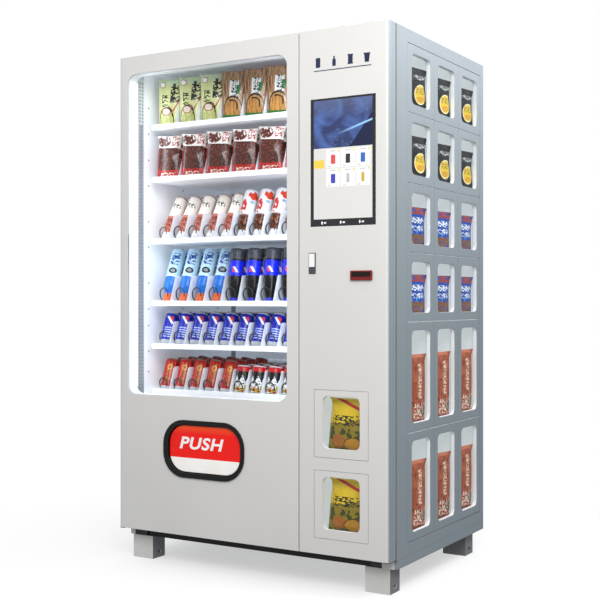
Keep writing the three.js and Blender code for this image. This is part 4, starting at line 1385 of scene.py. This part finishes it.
def add_louvres():
    """Two columns of hoods over the condenser, each with a dark strip of painted shade under it."""
    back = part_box("back_panel")[1].y
    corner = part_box("condenser")[0]
    black = FINISHES["black_plastic"]
    hoods, gap_shades = [], []
    for column in range(2):
        for row in range(11):
            x, z = corner.x - 0.03 + column * 0.18, corner.z + 0.02 + row * 0.026
            spot = Matrix.Translation((x, back + 0.0002, z))
            hoods.append((LOUVRE_HOOD, spot @ Matrix.Diagonal((0.155, 0.018, 0.012, 1)), 0))
            gap_shades.append(rectangle(-x - 0.150, -x - 0.005, z - 0.004, z - 0.0005))
    build("back_louvres", hoods, [FINISHES["side_paint"]], "cabinet")
    plate("back_louvre_gap_shades", gap_shades, 0.0005, facing("back", back + 0.0001), black, "cabinet")


def add_back():
    """The screws round the back panel, and the power inlet with its coiled cord."""
    low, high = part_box("back_panel")
    black = FINISHES["black_plastic"]
    columns = [low.x + 0.02 + (high.x - low.x - 0.04) * i / 6 for i in range(7)]
    rows = [low.z + 0.02 + (high.z - low.z - 0.04) * i / 8 for i in range(9)]
    spots = [(-x, z) for x in columns for z in rows
             if x in (columns[0], columns[-1]) or z in (rows[0], rows[-1])]
    steel = metal("screw_steel", linear("b9bcc0"), 0.3)
    screw_heads("back_screws", spots, "back", high.y, 0.0045, steel, "cabinet")
    x, z = low.x + 0.20, low.z + 0.09
    ring = [rounded(-x - 0.03, -x + 0.03, z - 0.025, z + 0.025, 0.005),
            rounded(-x - 0.022, -x + 0.022, z - 0.016, z + 0.016, 0.004)]
    plate("power_inlet", ring, 0.008, facing("back", high.y + 0.0002), black, "cabinet", 0.001)
    cord = [(x, high.y + 0.004, z)]
    for step in range(24):
        angle = 2 * math.pi * step / 10 - math.pi / 2 + 1.9
        cord.append((x - 0.08 + 0.055 * math.cos(angle), high.y + 0.008 + 0.0006 * step,
                     z + 0.16 + 0.085 * math.sin(angle)))
    rods("power_cord", [cord], 0.0038, black, "cabinet", 2)


def add_condenser_details(aluminium, copper):
    """Fins on the condenser, and the pipe bends at its ends."""
    low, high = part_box("condenser")
    starts = [low.x + 0.004 + 0.0052 * i for i in range(53)]
    fins = [rectangle(x, x + 0.0006, low.z + 0.004, high.z - 0.004) for x in starts]
    plate("condenser_fins", fins, 0.004, facing("front", low.y - 0.0002), aluminium, "cabinet")
    radius, y = 0.012, (low.y + high.y) / 2
    centres = [low.z + 0.03 + radius + 0.042 * row for row in range(6)]
    bends = [[(x, y, z) for x, z in arc(end, centre, radius, -90, -90 + half_turn, 8)]
             for end, half_turn in ((low.x, -180), (high.x, 180)) for centre in centres]
    rods("condenser_bends", bends, 0.004, copper, "cabinet")


def add_fan_shroud():
    low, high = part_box("condenser_fan")
    x, z = (low.x + high.x) / 2, (low.z + high.z) / 2
    ring = (high.x - low.x) / 2 + 0.008
    outer = ring + 0.012
    outlines = [rounded(x - outer, x + outer, z - outer, z + outer, 0.01), circle(x, z, ring, 40)]
    plate("fan_shroud", outlines, 0.010, facing("front", low.y - 0.001), FINISHES["black_plastic"],
          "cabinet", 0.001)


def add_compressor_details(copper):
    """The lines from the compressor to the condenser and upwards, and its terminal box."""
    low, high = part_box("compressor")
    coil_low, coil_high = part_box("condenser")
    x, y, top = (low.x + high.x) / 2, (low.y + high.y) / 2, high.z
    beside = coil_low.x - 0.014
    feed = [(x + 0.04, y, top - 0.02), (x + 0.045, y, top + 0.04), (x + 0.06, y, top + 0.07),
            (x + 0.10, y + 0.02, top + 0.075), (beside, coil_high.y - 0.02, top + 0.06),
            (beside, coil_high.y - 0.02, coil_low.z + 0.25),
            (coil_low.x - 0.002, coil_high.y - 0.03, coil_low.z + 0.24)]
    suction = [(x - 0.03, y + 0.03, top - 0.03), (x - 0.035, y + 0.04, top + 0.05),
               (x - 0.03, y + 0.10, top + 0.10), (x - 0.03, y + 0.16, top + 0.11)]
    rods("compressor_lines", [feed, suction], 0.0045, copper, "cabinet")
    box = [rounded(x - 0.03, x + 0.03, low.z + 0.06, low.z + 0.13, 0.006)]
    plate("compressor_terminal_box", box, 0.025, facing("front", low.y + 0.014), FINISHES["black_plastic"],
          "cabinet", 0.002)


def add_slot_shade_plates():
    """Painted shade: dark plates inside the feet, behind the slots in their cheeks."""
    wall, thickness = 0.003, 0.001
    for foot in FEET:
        low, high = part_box(foot)
        cover = [rectangle(low.y + 0.024, low.y + 0.054, low.z + 0.012, low.z + 0.032)]
        for cheek, x in (("a", low.x + wall + 0.0002), ("b", high.x - wall - thickness - 0.0002)):
            face = facing("right", x)
            plate(f"{foot}_slot_shade_{cheek}", cover, thickness, face, FINISHES["dark_steel"], "cabinet")


COPPER = metal("pipe_copper", linear("b8693f"), 0.3)
add_louvres()
add_back()
add_condenser_details(metal("fin_aluminium", linear("d5d8dc"), 0.3), COPPER)
add_fan_shroud()
add_compressor_details(COPPER)
add_slot_shade_plates()


# ---------- floor, light and camera ----------
def add_floor():
    """A matt floor that turns to plain white away from the machine."""
    far = 14.0
    mesh = bpy.data.meshes.new("studio_floor")
    mesh.from_pydata([(x, y, 0) for x, y in rectangle(-far, far, -far, far)], [], [(0, 1, 2, 3)])
    floor = linked("studio_floor", mesh)
    g = Graph("studio_floor")
    distance = g.math("SQRT", g.plus(g.times(g.x, g.x), g.times(g.y, g.y)))
    matt = g.add("BsdfDiffuse", {"Color": (0.9, 0.9, 0.9, 1)})
    white = g.add("Emission", {"Color": (1, 1, 1, 1), "Strength": 1.0})
    share = g.spread(distance, 0.4, 1.7, 0.5, 1.0)
    mixed = g.add("MixShader", {0: share, 1: matt.outputs[0], 2: white.outputs[0]})
    g.add("OutputMaterial", {"Surface": mixed.outputs[0]})
    mesh.materials.append(g.material)
    floor.visible_diffuse = False
    floor.visible_glossy = False


def add_world():
    """White to the camera. As light it is bright above and dim below."""
    world = bpy.data.worlds.new("studio")
    bpy.context.scene.world = world
    world.use_nodes = True
    g = Graph(tree=world.node_tree)
    strength = g.spread(g.upward, -1.0, 1.0, 0.08, 1.1)
    light = g.add("Background", {"Color": (0.97, 0.98, 1.0, 1), "Strength": strength})
    seen = g.add("Background", {"Color": (1, 1, 1, 1)})
    to_camera = g.add("LightPath").outputs["Is Camera Ray"]
    mixed = g.add("MixShader", {0: to_camera, 1: light.outputs[0], 2: seen.outputs[0]})
    g.add("OutputWorld", {0: mixed.outputs[0]})


def area_light(name, spot, target, size, power, colour):
    data = bpy.data.lights.new(name, "AREA")
    data.shape, data.size, data.size_y = "RECTANGLE", size[0], size[1]
    data.energy, data.color = power, colour
    lamp = linked(name, data)
    lamp.location = spot
    lamp.rotation_mode = "QUATERNION"
    lamp.rotation_quaternion = (Vector(target) - Vector(spot)).to_track_quat("-Z", "Y")
    return lamp


def add_lights():
    """A key light at the front right, one over the lockers, and a strip in each side of the display."""
    area_light("key", (1.9, -2.9, 2.8), (0.3, -0.4, 1.3), (2.0, 1.6), 88, (1.0, 0.985, 0.965))
    area_light("side", (2.4, 0.5, 3.1), (0.58, 0.0, 1.75), (1.2, 1.2), 42, (0.94, 0.97, 1.0))
    low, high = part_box("glass_retainer")
    middle = (low.z + high.z) / 2
    strip = (0.03, high.z - low.z - 0.1)
    for name, x, target_x in (("inner_left", low.x + 0.03, 0.15), ("inner_right", high.x - 0.03, -0.5)):
        spot, target = (x, low.y + 0.03, middle), (target_x, 0.1, middle)
        lamp = area_light(name, spot, target, strip, 1.1, (0.9, 0.95, 1.0))
        lamp.visible_camera = False


def add_camera():
    data = bpy.data.cameras.new("camera")
    data.lens, data.sensor_width = 65.8, 36
    camera = linked("camera", data)
    camera.location = (2.2055, -3.716, 1.003)
    camera.rotation_euler = (math.radians(90), 0, math.radians(30.87))
    bpy.context.scene.camera = camera


add_floor()
add_world()
add_lights()
add_camera()
bpy.context.scene.view_settings.view_transform = "Standard"

# ---------- the end -----------------------------------
bpy.context.view_layer.update()
